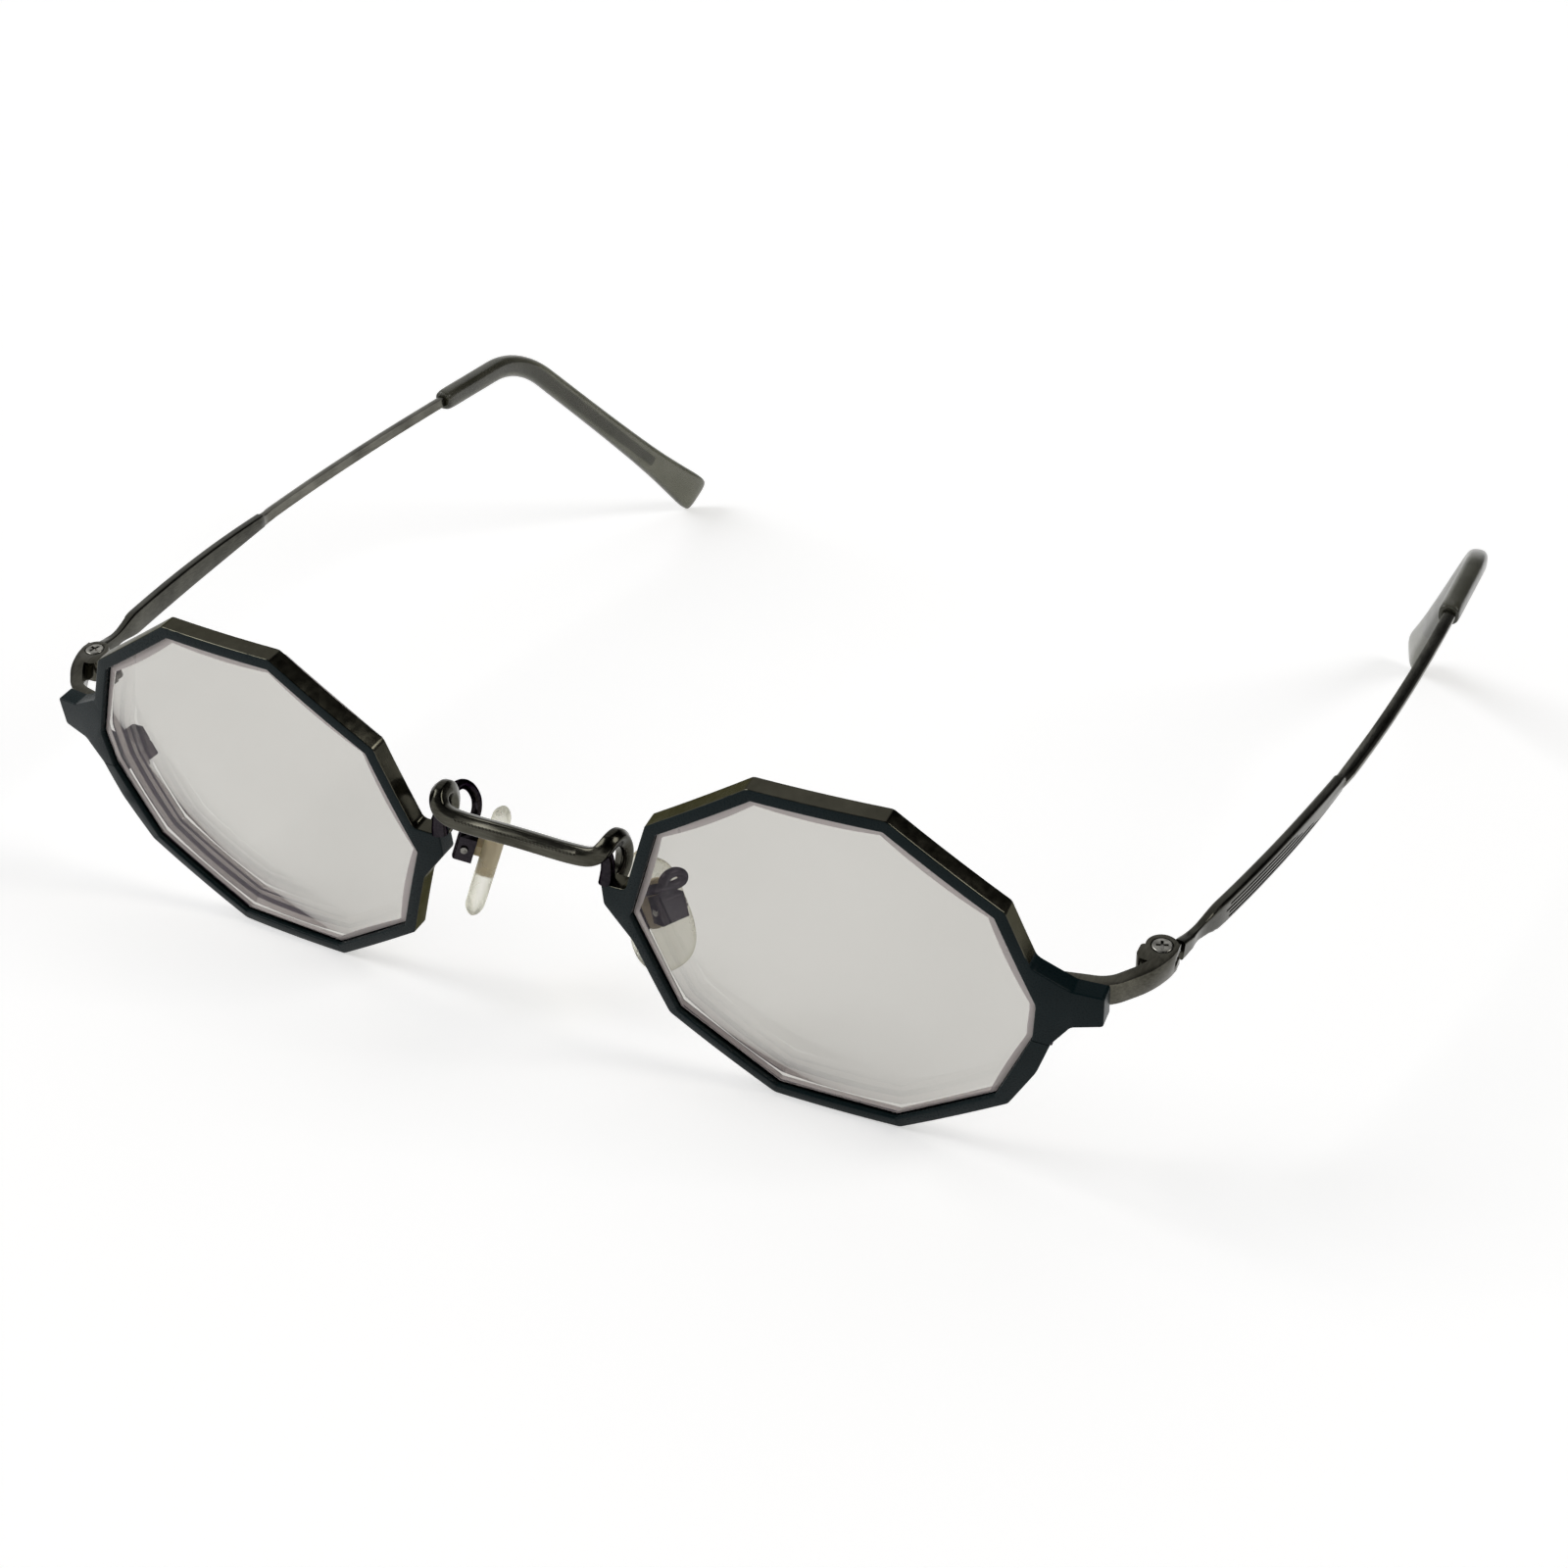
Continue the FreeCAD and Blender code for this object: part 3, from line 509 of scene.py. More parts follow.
def plastic_finish(name, dark, light, rough):
    """Solid plastic, slightly clouded and uneven."""
    finish, nodes, links, shader = new_finish(name)
    cloud = noise(nodes, links, 1.2, detail=5)
    links.new(ramp(nodes, links, cloud, (0.35, dark), (0.7, light)), shader.inputs["Base Color"])
    links.new(shades(nodes, links, cloud, rough, rough + 0.15), shader.inputs["Roughness"])
    relief(nodes, links, cloud, 0.01, shader)
    return finish


rim_lacquer = lacquer_finish("rim_lacquer", (0.0035, 0.0105, 0.012), (0.0055, 0.014, 0.0165))
side_gunmetal = brushed_finish("rim_side_gunmetal", (0.065, 0.062, 0.047), (0.095, 0.091, 0.069),
                               (0.2, 0.15, 0.2), 0.2, 0.0003, (0.4, 0.4, 0.36))
strip_gunmetal = brushed_finish("endpiece_gunmetal", (0.04, 0.038, 0.029), (0.115, 0.11, 0.088),
                                (0.8, 0.07, 0.8), 0.22, depth=0.0006)
temple_gunmetal = brushed_finish("temple_gunmetal", (0.028, 0.0272, 0.021), (0.088, 0.086, 0.07),
                                 (1.2, 0.05, 1.2), 0.2, depth=0.0006)
# painted sheen: a paler copy of the temple's gunmetal, for the round wire
wire_sheen_gunmetal = brushed_finish("temple_wire_gunmetal", (0.06, 0.058, 0.046), (0.16, 0.156, 0.13),
                               (1.2, 0.05, 1.2), 0.16, depth=0.0004)
bridge_gunmetal = brushed_finish("bridge_gunmetal", (0.028, 0.027, 0.02), (0.088, 0.085, 0.069),
                                 (0.08, 1.0, 1.0), 0.18, depth=0.0006)
# also the strand of the bridge's curls, as painted shade
arm_black = brushed_finish("pad_arm_gunmetal", (0.014, 0.012, 0.015), (0.04, 0.035, 0.04),
                           (0.8, 0.3, 0.8), 0.16, edge=(0.2, 0.17, 0.21))
block_metal = brushed_finish("closing_block_metal", (0.012, 0.006, 0.011), (0.035, 0.022, 0.032),
                             (1, 0.4, 1), 0.2, edge=(0.2, 0.1, 0.22))
screw_steel = steel_finish("screw_steel", (0.19, 0.185, 0.165), (0.44, 0.43, 0.39))
# also the painted shade in the hinge screw's cross recess
dark_steel = steel_finish("dark_screw_steel", (0.12, 0.115, 0.105), (0.3, 0.29, 0.27))
lens_glass = clear_finish("lens_glass", (0.585, 0.575, 0.543), (0.61, 0.6, 0.568), 0.0, 1.4, 0.05,
                          (0.84, 0.83, 0.81))
# the lens's coating takes most of the mirror image away and leaves a faint purple
coating = lens_glass.node_tree.nodes["Principled BSDF"].inputs["Specular Tint"]
coating.default_value = (0.16, 0.08, 0.22, 1)
# the ground bevel, and also the light stripes of painted reflection on the lens's polished wall
lens_bevel_and_wall_reflection = clear_finish("lens_ground_bevel", (0.7, 0.62, 0.605), (0.74, 0.66, 0.645), 0.3, 1.5, 0.1,
                          (0.84, 0.82, 0.8), transmission=0.15)
tip_smoke = clear_finish("tip_smoke_plastic", (0.12, 0.121, 0.083), (0.19, 0.188, 0.142), 0.22, 1.47,
                         0.25, (0.42, 0.41, 0.36), transmission=0.64)
pad_clear = clear_finish("nose_pad_clear", (0.95, 0.94, 0.87), (0.98, 0.975, 0.92), 0.3, 1.25,
                         0.25, (0.95, 0.94, 0.89), transmission=0.86)
deepen_edge(pad_clear, (0.38, 0.37, 0.17))
core_tan = plastic_finish("pad_core_tan", (0.58, 0.46, 0.27), (0.72, 0.6, 0.38), 0.45)
# the dark stripes of painted reflection on the lens's polished wall
painted_wall_reflection = plastic_finish("lens_edge_purple", (0.03, 0.012, 0.03), (0.06, 0.03, 0.055), 0.3)


# Rims, closing blocks, end pieces and screws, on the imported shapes

def rim():
    """Lacquered in front, inside and over the lug and the tab, bare gunmetal round the outside."""
    piece = welded_copy("left_rim", "left_rim_ring")
    smooth(piece, 28)
    paint(piece, side_gunmetal, rim_lacquer)
    level = (stand_place @ lens_place).inverted()
    for face in piece.data.polygons:
        center = level @ face.center
        way = (level.to_3x3() @ face.normal).normalized()
        front = way.y < -0.62
        inside = way.x * center.x + way.z * center.z < -1
        fitting = center.x > lens_half_width - 1 or center.x < -lens_half_width - rim_width - 0.5
        face.material_index = 1 if front or inside or fitting else 0
    both_sides(piece, "front", "rim_lacquer", "rim")


def hinge_screw():
    """Steel screw whose cross recess is painted in the darker steel, as painted shade."""
    piece = welded_copy("left_hinge_screw", "left_hinge_screw_pin")
    smooth(piece, 32)
    paint(piece, screw_steel, dark_steel)
    level = (stand_place @ hinge_place).inverted()
    for face in piece.data.polygons:
        center = level @ face.center
        # painted shade: the faces inside the cross recess take the darker steel
        shaded_recess = Vector((center.x, center.y)).length < 0.64 and 0.5 < center.z < 1.29
        face.material_index = 1 if shaded_recess else 0
    both_sides(piece, "front", "screw_steel", "hinge_screw")


def small_metal(node, name, finish, slot, ease, body="front"):
    """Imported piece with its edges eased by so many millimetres, in one finish."""
    piece = welded_copy("left_" + node, "left_" + name)
    ease_edges(piece, ease / 1000, 42)
    smooth(piece, 32)
    paint(piece, finish)
    both_sides(piece, body, slot, node)


# Lenses

def lens_outline():
    """Corners of the rim's opening in the lens frame, from the upper one at the temple."""
    step = radians(36)
    tall = lens_half_height / sin(2 * step)
    corners = [(lens_half_width, 1.9)]
    corners += [(lens_half_width * cos(i * step), tall * sin(i * step)) for i in range(1, 10)]
    corners.append((lens_half_width - 0.3, -2.6))
    return [Vector((x, 0, z)) for x, z in corners]


def edging_cuts(inset):
    """Planes that edge a lens to the opening: a point and an outward direction each."""
    corners = lens_outline()
    count = len(corners)
    cuts = []
    for index, corner in enumerate(corners):
        after = corners[(index + 1) % count]
        before = corners[index - 1]
        out = Vector((after.z - corner.z, 0, corner.x - after.x)).normalized()
        last = Vector((corner.z - before.z, 0, before.x - corner.x)).normalized()
        cuts.append((corner - out * inset, out))
        by_temple = index in (0, count - 1)
        blunt = 2.2 if by_temple else 0.4
        half = last.angle(out) / 2
        bisector = (last + out).normalized()
        center = corner - bisector * (blunt / cos(half))
        turns = 5 if by_temple else 1
        for turn in range(1, turns + 1):
            way = last.slerp(out, turn / (turns + 1))
            cuts.append((center + way * (blunt - inset), way))
    return cuts


def lens_blank():
    """Round blank turned from its section: a flat front curve and a hollow back."""
    put_down()
    bpy.ops.mesh.primitive_plane_add(size=1, location=(0, 0, 0))
    piece = bpy.context.object
    piece.name = "left_lens_glass"
    bpy.ops.object.mode_set(mode="EDIT")
    bpy.ops.mesh.select_all(action="SELECT")
    bpy.ops.mesh.merge(type="CENTER")
    bpy.ops.transform.translate(value=(0, lens_front, 0))
    rings = 27
    reaches = [blank_radius * ring / rings for ring in range(rings + 1)]
    route = [(reach, lens_front + base_radius - sqrt(base_radius ** 2 - reach ** 2))
             for reach in reaches]
    route += [(reach, lens_back + back_radius - sqrt(back_radius ** 2 - reach ** 2))
              for reach in reversed(reaches)]
    for (x0, y0), (x1, y1) in zip(route, route[1:]):
        extrude((x1 - x0, y1 - y0, 0))
    bpy.ops.mesh.select_all(action="SELECT")
    bpy.ops.mesh.spin(steps=96, angle=2 * pi, center=(0, 0, 0), axis=(0, 1, 0))
    bpy.ops.mesh.select_all(action="SELECT")
    bpy.ops.mesh.remove_doubles(threshold=0.002)
    bpy.ops.mesh.normals_make_consistent(inside=False)
    return piece


def on_wall(face):
    """Whether a face is on the polished wall round a lens."""
    return abs(face.normal.y) < 0.1


def grind(point, normal):
    """Take away what lies beyond a plane, and close the lens there."""
    slice_all(point, normal, use_fill=True, clear_outer=True)


def lens():
    """Lens edged to the rim, with a ground bevel round its front and a small one behind."""
    piece = lens_blank()
    cuts = edging_cuts(lens_clearance)
    for point, out in cuts:
        grind(point, out)
    for point, out in cuts:
        reach = Vector((point.x, 0, point.z)).length
        front = lens_front + reach ** 2 / 2 / base_radius
        back = lens_back + reach ** 2 / 2 / back_radius
        front_slope = (out * 0.5 + Vector((0, -0.87, 0))).normalized()
        grind(point + Vector((0, front + front_bevel, 0)), front_slope)
        back_slope = (out + Vector((0, 1, 0))).normalized()
        grind(point + Vector((0, back - back_bevel, 0)), back_slope)
    for step in (1, 2):
        pick_faces(on_wall)
        bpy.ops.mesh.bisect(plane_co=(0, wall_start + reflection_stripe_step * step, 0), plane_no=(0, 1, 0))
    put_down()
    face_outwards(piece)
    paint(piece, lens_glass, lens_bevel_and_wall_reflection, painted_wall_reflection)
    for face in piece.data.polygons:
        center = Vector((face.center.x, 0, face.center.z))
        bevelled = -0.93 < face.normal.y < -0.4 and center.length > 14
        face.material_index = 1 if bevelled else 0
        # the polished wall is painted in light and dark stripes, as painted reflections of the rim's
        # groove
        if on_wall(face):
            reflection_stripe = int((face.center.y - wall_start) / reflection_stripe_step)
            face.material_index = 1 if reflection_stripe % 2 else 2
    smooth(piece, 14)
    settle(piece, stand_place @ lens_place)
    both_sides(piece, "front", "lens", "lens")


# Temples and tips

def temple_point(share):
    """Point at a share of the temple's reach, which ends at the corner of its bend."""
    x, y, z = temple_start
    out = 1 - (1 - min(share / straight_from, 1)) ** 2.5
    return Vector((x + temple_bow * out, y + temple_reach * share, z - temple_drop * share))


tail_direction = Vector((-sin(tail_inward), cos(tail_fall) * cos(tail_inward),
                         -sin(tail_fall) * cos(tail_inward)))
bend_corner = temple_point(1)
into_bend = (bend_corner - temple_point(straight_from)).normalized()
bend_turn = into_bend.angle(tail_direction)
bend_reach = bend_radius * tan(bend_turn / 2)


def temple_route():
    """Points and directions of the temple's line, from the hinge to the end of the tip."""
    points = []
    ways = []
    for share in (0, 0.05, 0.1, 0.16, 0.23, 0.31, 0.4, 0.5, 0.6, 0.7, 0.78, straight_from):
        points.append(temple_point(share))
        ways.append((temple_point(share + 0.002) - temple_point(max(share - 0.002, 0))).normalized())
    ways[-1] = into_bend
    bisector = (tail_direction - into_bend).normalized()
    center = bend_corner + bisector * (bend_radius / cos(bend_turn / 2))
    side = (bend_corner + into_bend * -bend_reach - center).normalized()
    axis = into_bend.cross(tail_direction).normalized()
    for share in (0, 0.25, 0.5, 0.75, 1):
        turned = Matrix.Rotation(bend_turn * share, 3, axis)
        points.append(center + turned @ (side * bend_radius))
        ways.append(into_bend.slerp(tail_direction, share))
    points.append(bend_corner + tail_direction * tail_length)
    ways.append(tail_direction)
    return points, ways


temple_knots = knots_through(*temple_route())
temple_samples = path_marks(temple_knots)
temple_length = temple_samples[-1][0]


def mark_at(share):
    """Distance along the temple's line at a share of its reach."""
    goal = temple_start[1] + temple_reach * share
    return next(mark for mark, point in temple_samples if point.y >= goal - 0.0001)


def bend_to_temple(piece):
    """Bend a straight piece to the temple's line."""
    path = new_path("temple_line", temple_knots)
    bend_along(piece, path)
    bpy.data.objects.remove(path)


# Rings of the bar: share of the reach, height, thickness and how round the section is
temple_rings = ((0.019, 2.15, 1.15, 0), (0.025, 1.98, 1.13, 0), (0.031, 1.76, 1.1, 0),
                (0.037, 1.6, 1.06, 0), (0.043, 1.5, 1.03, 0), (0.049, 1.49, 1.02, 0),
                (0.055, 1.56, 1.03, 0), (0.061, 1.73, 1.05, 0), (0.067, 1.98, 1.08, 0),
                (0.073, 2.26, 1.11, 0), (0.079, 2.52, 1.13, 0), (0.085, 2.7, 1.15, 0),
                (0.091, 2.79, 1.15, 0), (0.097, 2.8, 1.15, 0), (0.103, 2.8, 1.15, 0),
                (0.11, 2.8, 1.15, 0), (0.118, 2.8, 1.15, 0), (0.126, 2.8, 1.15, 0),
                (0.145, 2.8, 1.15, 0), (0.168, 2.79, 1.15, 0), (0.19, 2.76, 1.15, 0),
                (0.212, 2.72, 1.15, 0), (0.235, 2.66, 1.15, 0), (0.25, 2.61, 1.15, 0),
                (0.265, 2.55, 1.15, 0), (0.28, 2.48, 1.15, 0), (0.295, 2.4, 1.15, 0),
                (0.31, 2.3, 1.16, 0), (0.325, 2.19, 1.17, 0), (0.34, 2.06, 1.18, 0.05),
                (0.355, 1.94, 1.2, 0.1), (0.365, 1.86, 1.22, 0.15), (0.3735, 1.8, 1.24, 0.2),
                (0.3755, 1.7, 1.26, 0.5), (0.385, 1.58, 1.32, 0.75), (0.4, 1.45, 1.38, 1),
                (0.415, 1.4, 1.4, 1))


# Engraved lines: height on the temple's outer face, and the shares of the reach that they span
temple_lines = ((-0.78, 0.106, 0.3), (-0.28, 0.103, 0.285), (0.22, 0.101, 0.262),
                (0.72, 0.108, 0.235))


def temple_bar():
    """Neck, flat part with its engraved lines, and wire, bent to the temple's line."""
    core_end = temple_length - 14
    marks = [mark_at(share) for share, _, _, _ in temple_rings]
    rings = 44
    wire_marks = [marks[-1] + (core_end - marks[-1]) * ring / rings for ring in range(1, rings + 1)]
    piece = straight_bar("left_temple_bar", 1.15, 2.8, 0.34, 4, marks + wire_marks)
    open_mesh(piece)
    half_groove = 0.13
    for line, _, _ in temple_lines:
        for offset in (-half_groove, 0, half_groove):
            pick_faces(lambda face: face.normal.y < -0.9)
            bpy.ops.mesh.bisect(plane_co=(0, 0, line + offset), plane_no=(0, 0, 1))
    for line, begin, end in temple_lines:
        low, high = mark_at(begin), mark_at(end)
        pick_points(lambda co: abs(co.z - line) < 0.01 and co.y < -0.5 and low <= co.x <= high)
        bpy.ops.transform.translate(value=(0, 0.17, 0))
    for mark, (_, tall, thick, roundness) in zip(marks, temple_rings):
        shape_ring(mark, thick, tall, roundness)
    neck_hollow = zip(marks[4:13], (0.12, 0.2, 0.24, 0.24, 0.21, 0.16, 0.11, 0.06, 0.02))
    for mark, depth in neck_hollow:
        pick_points(lambda co: at_mark(co, mark) and co.y < -0.3 and abs(co.z) < 1.2)
        bpy.ops.transform.translate(value=(0, depth, 0))
    for mark in wire_marks:
        shape_ring(mark, 1.4, 1.4, 1)
    step_marks = [mark for mark, ring in zip(marks, temple_rings) if 0.375 < ring[0] < 0.39]
    pick_points(lambda co: co.z > 0.3 and any(at_mark(co, mark) for mark in step_marks))
    bpy.ops.transform.translate(value=(0, 0, -0.12))
    put_down()
    bend_to_temple(piece)
    return piece


def hinge_knuckle():
    """Disc between the ears, with the web that reaches into the temple."""
    put_down()
    height = 0.84
    bpy.ops.mesh.primitive_cylinder_add(vertices=64, radius=1.46, depth=height)
    disc = bpy.context.object
    ease_edges(disc, 0.07, 60)
    put_down()
    web_middle = (0.93, 1.42, 0)
    bpy.ops.mesh.primitive_cube_add(size=1, location=web_middle)
    web = bpy.context.object
    bpy.ops.object.mode_set(mode="EDIT")
    bpy.ops.transform.resize(value=(1.2, 2.3, height), center_override=web_middle)
    settle(web)
    ease_edges(web, 0.07, 60)
    unite(disc, web)
    bpy.ops.mesh.primitive_cylinder_add(vertices=48, radius=0.6, depth=4)
    unite(disc, bpy.context.object, "DIFFERENCE")
    settle(disc, hinge_place)
    return disc


def temple():
    """Temple with its knuckle: dark up to the end of its flat part, paler along the wire as painted
    sheen.
    """
    piece = temple_bar()
    unite(piece, hinge_knuckle())
    smooth(piece, 30)
    paint(piece, temple_gunmetal, wire_sheen_gunmetal)
    wire_start = temple_point(0.38).y
    # the wire takes the paler copy of the gunmetal as painted sheen
    for face in piece.data.polygons:
        face.material_index = 1 if face.center.y > wire_start else 0
    settle(piece, stand_place)
    both_sides(piece, "left_arm", "gunmetal", "temple")


# Rings of the tip: share of its length, height and thickness
tip_rings = ((0.0, 2.5, 2.5), (0.012, 2.9, 2.6), (0.03, 2.94, 2.62), (0.08, 2.95, 2.62),
             (0.14, 2.97, 2.63), (0.2, 3.03, 2.64), (0.26, 3.1, 2.66), (0.32, 3.16, 2.68),
             (0.38, 3.22, 2.7), (0.46, 3.3, 2.72), (0.54, 3.36, 2.75), (0.62, 3.5, 2.78),
             (0.7, 3.72, 2.8), (0.76, 3.95, 2.8), (0.82, 4.3, 2.8), (0.88, 4.88, 2.78),
             (0.93, 5.5, 2.75), (0.965, 5.9, 2.6), (0.985, 5.95, 2.3), (1.0, 5.5, 1.5))


def temple_tip():
    """Plastic tip: a sleeve over the wire that ends in a flat paddle."""
    sleeve = 20.2 + tail_length - (2 * bend_reach - bend_radius * bend_turn)
    start = temple_length - sleeve
    marks = [start + sleeve * share for share, _, _ in tip_rings]
    piece = straight_bar("left_temple_tip_shell", 2.6, 2.9, 1.0, 4, marks)
    open_mesh(piece)
    for mark, (_, tall, thick) in zip(marks, tip_rings):
        shape_ring(mark, thick, tall)
    mouth, tail = marks[0], marks[-1]
    snug = 1.52 / 1.75
    pick_faces(lambda face: at_mark(face.calc_center_median(), mouth))
    bpy.ops.mesh.inset(thickness=0.35)
    bpy.ops.mesh.inset(thickness=0.12)
    bpy.ops.transform.resize(value=(1, snug, snug), center_override=(mouth, 0, 0))
    extrude((0.1, 0, 0))
    extrude((1.4, 0, 0))
    pick_faces(lambda face: at_mark(face.calc_center_median(), tail))
    bpy.ops.mesh.inset(thickness=0.25)
    bpy.ops.transform.translate(value=(0.1, 0, 0))
    bpy.ops.mesh.inset(thickness=0.3)
    put_down()
    apply_modifier(piece, "SUBSURF", levels=2, render_levels=2)
    bend_to_temple(piece)
    face_outwards(piece)
    smooth(piece, 50)
    paint(piece, tip_smoke)
    settle(piece, stand_place)
    both_sides(piece, "left_arm", "tip_smoke", "temple_tip")


# Bridge

# Steps along half the bridge: shares of its span in x, y and z, and of the bar's width
bridge_steps = ((0.0, 0.0, 0.0, 1.0), (0.25, 0.0, -0.02, 1.0), (0.5, 0.01, -0.07, 1.0),
                (0.7, 0.02, -0.04, 1.0), (0.82, 0.05, 0.04, 0.98), (0.91, 0.12, 0.28, 0.92),
                (0.965, 0.27, 0.68, 0.86), (0.99, 0.5, 0.9, 0.84), (1.0, 0.78, 0.75, 0.84),
                (1.005, 0.99, 0.1, 0.8), (1.01, 1.03, -0.85, 0.75), (1.01, 0.88, -1.65, 0.7),
                (1.005, 0.6, -2.2, 0.65), (1.0, 0.3, -2.35, 0.6))
# Turns the bar's broad face, which looks forward and up, to face up for the work
bar_lean = Vector((0, -1, 0.6)).rotation_difference(Z_AXIS).to_matrix()


def bridge_knots():
    """Knots of half the bridge, from its middle to its foot on the rim's tab."""
    y, z = bridge_middle
    reach, depth, rise = bridge_span
    points = [bar_lean @ Vector((reach * out, y + depth * back, z + rise * up))
              for out, back, up, _ in bridge_steps]
    ways = ways_along(points)
    ways[0] = X_AXIS
    return knots_through(points, ways)


def bridge_bar(knots):
    """Half the bar, with a roof along its face and a round end, for the path of the curl."""
    samples = path_marks(knots)
    length = samples[-1][0]
    places = [samples[index * path_steps][0] for index in range(len(knots))]
    widths = list(zip(places, [wide for _, _, _, wide in bridge_steps]))
    rings = 72
    marks = [length * ring / rings for ring in range(rings + 1)]
    width = 2.0
    piece = straight_bar("bridge_bar", width, 1.35, 0.3, 4, marks)
    open_mesh(piece)
    for offset in (-0.02, 0.12, 0.26):
        pick_faces(lambda face: face.normal.z > 0.9)
        bpy.ops.mesh.bisect(plane_co=(0, offset, 0), plane_no=(0, 1, 0))
    roof_end = 9.4
    roof_fade = 2.5
    for mark in marks:
        wide = between(widths, mark)
        roof = min(max((roof_end - mark) / roof_fade, 0), 1)
        pick_points(lambda co: at_mark(co, mark) and -0.03 < co.y < 0.27 and co.z > 0.6)
        bpy.ops.transform.translate(value=(0, 0, 0.08 + 0.26 * roof))
        shape_ring(mark, width * wide, 1.5 + 0.15 * (1 - roof), 0.4 * (1 - roof))
    pick_faces(lambda face: at_mark(face.calc_center_median(), 0))
    bpy.ops.mesh.delete(type="FACE")
    put_down()
    return piece


def whole_bridge(half, path, angle):
    """Bend half the bridge along its path, and join it to its mirror image."""
    bend_along(half, path)
    other = mirrored(half, half.name + "_other")
    take(half)
    other.select_set(True)
    bpy.ops.object.join()
    face_outwards(half)
    smooth(half, angle)
    paint(half, bridge_gunmetal)
    settle(half, stand_place @ bar_lean.inverted().to_4x4())
    keep(half, "front", "gunmetal", "bridge")


def milgrain():
    """Half the row of small beads along the bar's ridge."""
    put_down()
    pitch = 0.42
    bpy.ops.mesh.primitive_ico_sphere_add(subdivisions=2, radius=0.19,
                                          location=(pitch / 2, 0.12, 0.88))
    bead = bpy.context.object
    bead.name = "bridge_milgrain"
    settle(bead, bead.matrix_world.copy())
    apply_modifier(bead, "ARRAY", count=17, use_relative_offset=False, use_constant_offset=True,
                   constant_offset_displace=(pitch, 0, 0))
    return bead


def bridge():
    """Bar with a ridge and its row of beads, curled over and back to the tabs at both ends."""
    knots = bridge_knots()
    path = new_path("bridge_line", knots)
    path.data.twist_mode = "MINIMUM"
    whole_bridge(bridge_bar(knots), path, 32)
    whole_bridge(milgrain(), path, 60)
    bpy.data.objects.remove(path)


def bridge_strand():
    """Second strand of each curl, from the bar down to the tab, darker than the bar as painted shade.
    """
    points = [Vector((9.5, 2.1, 6.2)), Vector((9.75, 1.95, 5.3)), Vector((9.85, 1.6, 4.3)),
              Vector((9.78, 1.2, 2.85))]
    piece = wire("left_bridge_strand", points, 0.72, (0.9, 0.95, 1, 1.2))
    # painted shade: the strand takes the darker pad-arm finish, for the shade inside the curl
    paint(piece, arm_black)
    settle(piece, stand_place)
    other = mirrored(piece, "right_bridge_strand")
    keep(piece, "front", "gunmetal", "bridge")
    keep(other, "front", "gunmetal", "bridge")


# Nose pads

def pad_place():
    """The nose pad's frame: outward from the nose, backward and up."""
    azimuth = radians(70)
    flare = radians(21)
    outward = Vector((sin(azimuth) * cos(flare), -cos(azimuth) * cos(flare), sin(flare)))
    up = (Z_AXIS - outward * outward.z).normalized()
    roll = radians(9)
    up = up * cos(roll) + up.cross(outward) * sin(roll)
    backward = up.cross(outward)
    place = Matrix((outward, backward, up)).transposed().to_4x4()
    place.translation = Vector((9.7, 8.9, -5.85))
    return place


# The two arms are bent differently, as glasses are when they are fitted to a face
arm_spots = {"left_": ((11.5, 3.2, 0.6), (11.35, 4.6, 0.0), (11.4, 6.6, -1.3), (11.95, 8.8, -2.5),
                       (12.5, 10.2, -2.7), (12.6, 10.5, -1.9), (12.15, 9.9, -1.2),
                       (11.75, 8.9, -1.25), (11.65, 8.25, -2.1)),
             "right_": ((11.9, 3.0, 1.5), (12.0, 4.4, 2.2), (12.2, 6.6, 2.8), (12.3, 8.8, 2.5),
                        (12.25, 10.3, 1.2), (12.05, 10.9, -0.6), (12.0, 10.7, -2.0),
                        (11.95, 9.8, -2.9), (11.85, 8.7, -3.2))}


def pad_arm(side):
    """Wire from the back of the rim to the top of the pad's box, drawn on the left side."""
    nose = lens_half_width + rim_width / 2
    root = lens_place @ Vector((-nose, nose ** 2 / 2 / base_radius + rim_depth - 0.3, 1.0))
    end = pad_place() @ Vector((2.8, 0, 1.4))
    points = [root] + [Vector(spot) for spot in arm_spots[side]] + [end]
    swells = [1.5, 1.1] + [1] * (len(points) - 3) + [1.1]
    piece = wire("left_pad_arm_wire", points, 0.56, swells)
    paint(piece, arm_black)
    settle(piece, stand_place)
    if side == "right_":
        first = piece
        piece = mirrored(first, "right_pad_arm_wire")
        bpy.data.objects.remove(first)
    keep(piece, "front", "gunmetal", side + "pad_arm")


def nose_pad():
    """Soft clear pad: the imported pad's hull, made even and smooth."""
    piece = welded_copy("left_nose_pad", "left_nose_pad_cushion")
    open_mesh(piece)
    bpy.ops.mesh.select_all(action="SELECT")
    bpy.ops.mesh.convex_hull()
    put_down()
    apply_modifier(piece, "REMESH", mode="VOXEL", voxel_size=0.00022)
    apply_modifier(piece, "SMOOTH", factor=0.5, iterations=26)
    smooth(piece, 60)
    paint(piece, pad_clear)
    both_sides(piece, "left_pad", "pad_clear", "nose_pad")


# Making

rim()
lens()
small_metal("closing_block_upper", "closing_block_top", block_metal, "gunmetal", 0.15)
small_metal("closing_block_lower", "closing_block_base", block_metal, "gunmetal", 0.15)
small_metal("closing_screw", "closing_screw_pin", dark_steel, "screw_steel", 0.03)
small_metal("endpiece", "endpiece_strip", strip_gunmetal, "gunmetal", 0.08)
hinge_screw()
temple()
temple_tip()
bridge()
bridge_strand()
# the right arm is a mirror image whose left pattern goes away again, so it comes first
pad_arm("right_")
pad_arm("left_")
small_metal("pad_box", "pad_box_shell", arm_black, "gunmetal", 0.2)
small_metal("pad_screw", "pad_screw_pin", dark_steel, "screw_steel", 0.03)
nose_pad()
small_metal("pad_core", "pad_core_plate", core_tan, "pad_core", 0.05, "left_pad")


# Table, light and camera

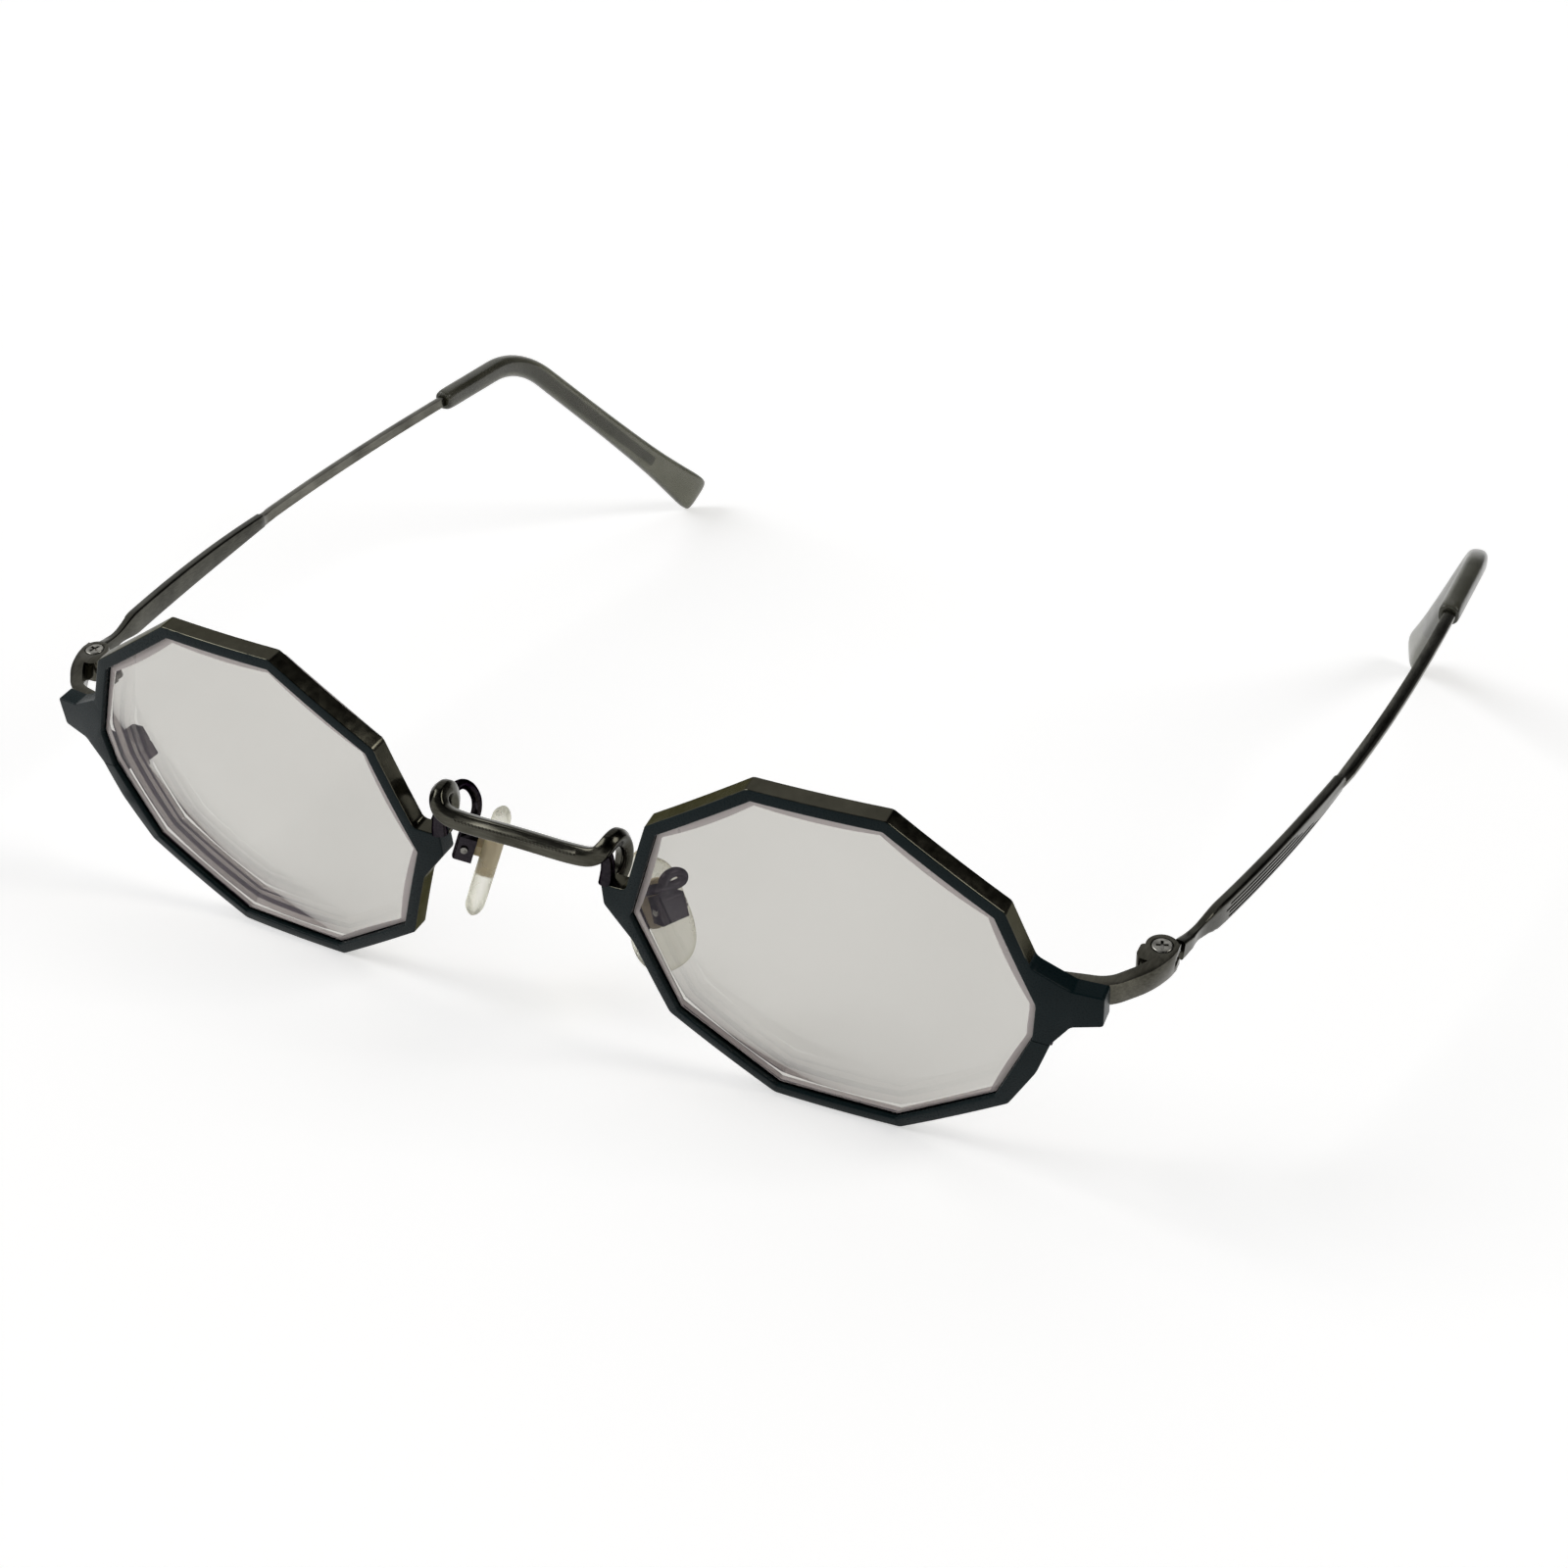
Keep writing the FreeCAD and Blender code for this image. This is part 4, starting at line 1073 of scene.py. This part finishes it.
def table():
    """Pale table that keeps the glasses' shadow, and glows white only where it is looked at."""
    put_down()
    bpy.ops.mesh.primitive_plane_add(size=8, location=(0, 0, 0))
    top = bpy.context.object
    top.name = "table_top"
    finish, nodes, links, shader = new_finish("white_table")
    shader.inputs["Base Color"].default_value = (0.8, 0.8, 0.8, 1)
    shader.inputs["Roughness"].default_value = 0.9
    shader.inputs["Specular IOR Level"].default_value = 0
    glow = nodes.new("ShaderNodeEmission")
    glow.inputs["Color"].default_value = (1, 1, 1, 1)
    path = nodes.new("ShaderNodeLightPath")
    seen = path.outputs["Is Camera Ray"]
    for ray in ("Is Glossy Ray", "Is Transmission Ray"):
        either = nodes.new("ShaderNodeMath")
        either.operation = "MAXIMUM"
        links.new(seen, either.inputs[0])
        links.new(path.outputs[ray], either.inputs[1])
        seen = either.outputs[0]
    level = nodes.new("ShaderNodeMath")
    level.operation = "MULTIPLY"
    level.inputs[1].default_value = 0.5
    both = nodes.new("ShaderNodeAddShader")
    links.new(seen, level.inputs[0])
    links.new(level.outputs[0], glow.inputs["Strength"])
    links.new(shader.outputs["BSDF"], both.inputs[0])
    links.new(glow.outputs["Emission"], both.inputs[1])
    links.new(both.outputs["Shader"], nodes["Material Output"].inputs["Surface"])
    top.data.materials.append(finish)


def sky():
    """Room with a dim ceiling and one dim side, white where the camera looks past the table."""
    world = bpy.data.worlds.new("studio")
    bpy.context.scene.world = world
    world.use_nodes = True
    nodes, links = world.node_tree.nodes, world.node_tree.links
    room = nodes["Background"]
    place = nodes.new("ShaderNodeTexCoord")
    split = nodes.new("ShaderNodeSeparateXYZ")
    links.new(place.outputs["Generated"], split.inputs[0])
    links.new(ramp(nodes, links, split.outputs["Z"], (0.0, (1, 1, 1)), (0.25, (0.9, 0.9, 0.88)),
                   (0.45, (0.12, 0.12, 0.12)), (0.8, (0.05, 0.05, 0.055))), room.inputs["Color"])
    links.new(shades(nodes, links, split.outputs["X"], 1, 0.12, 0.0, 0.35), room.inputs["Strength"])
    white = nodes.new("ShaderNodeBackground")
    white.inputs["Color"].default_value = (1, 1, 1, 1)
    path = nodes.new("ShaderNodeLightPath")
    mix = nodes.new("ShaderNodeMixShader")
    links.new(path.outputs["Is Camera Ray"], mix.inputs["Fac"])
    links.new(room.outputs["Background"], mix.inputs[1])
    links.new(white.outputs["Background"], mix.inputs[2])
    links.new(mix.outputs["Shader"], nodes["World Output"].inputs["Surface"])


def lamp(name, place, spread, strength, colour=(1, 1, 1)):
    """Soft light from a far wide lamp, the same all over the table."""
    put_down()
    bpy.ops.object.light_add(type="SUN", location=place)
    light = bpy.context.object
    light.name = name
    light.data.angle = radians(spread)
    light.data.energy = strength
    light.data.color = colour
    light.rotation_euler = Vector(place).to_track_quat("Z", "Y").to_euler()


def camera():
    """At the photograph's place and angle, worked out from points on the glasses."""
    put_down()
    bpy.ops.object.camera_add(location=(0.10713409, -0.25083572, 0.13626771),
                              rotation=(radians(63.03278), radians(-3.09402), radians(25.78363)))
    view = bpy.context.object
    view.name = "photo_camera"
    view.data.sensor_width = 36
    view.data.lens = 53.28
    view.data.clip_start = 0.01
    bpy.context.scene.camera = view


table()
sky()
lamp("soft_box_left", (-0.75, -0.3, 0.68), 32, 1.3)
lamp("soft_box_right", (0.65, 0.1, 0.6), 26, 0.8, (1, 0.98, 0.95))
lamp("soft_box_back", (-0.4, 0.5, 0.8), 55, 0.35)
camera()
bpy.context.scene.view_settings.view_transform = "Standard"
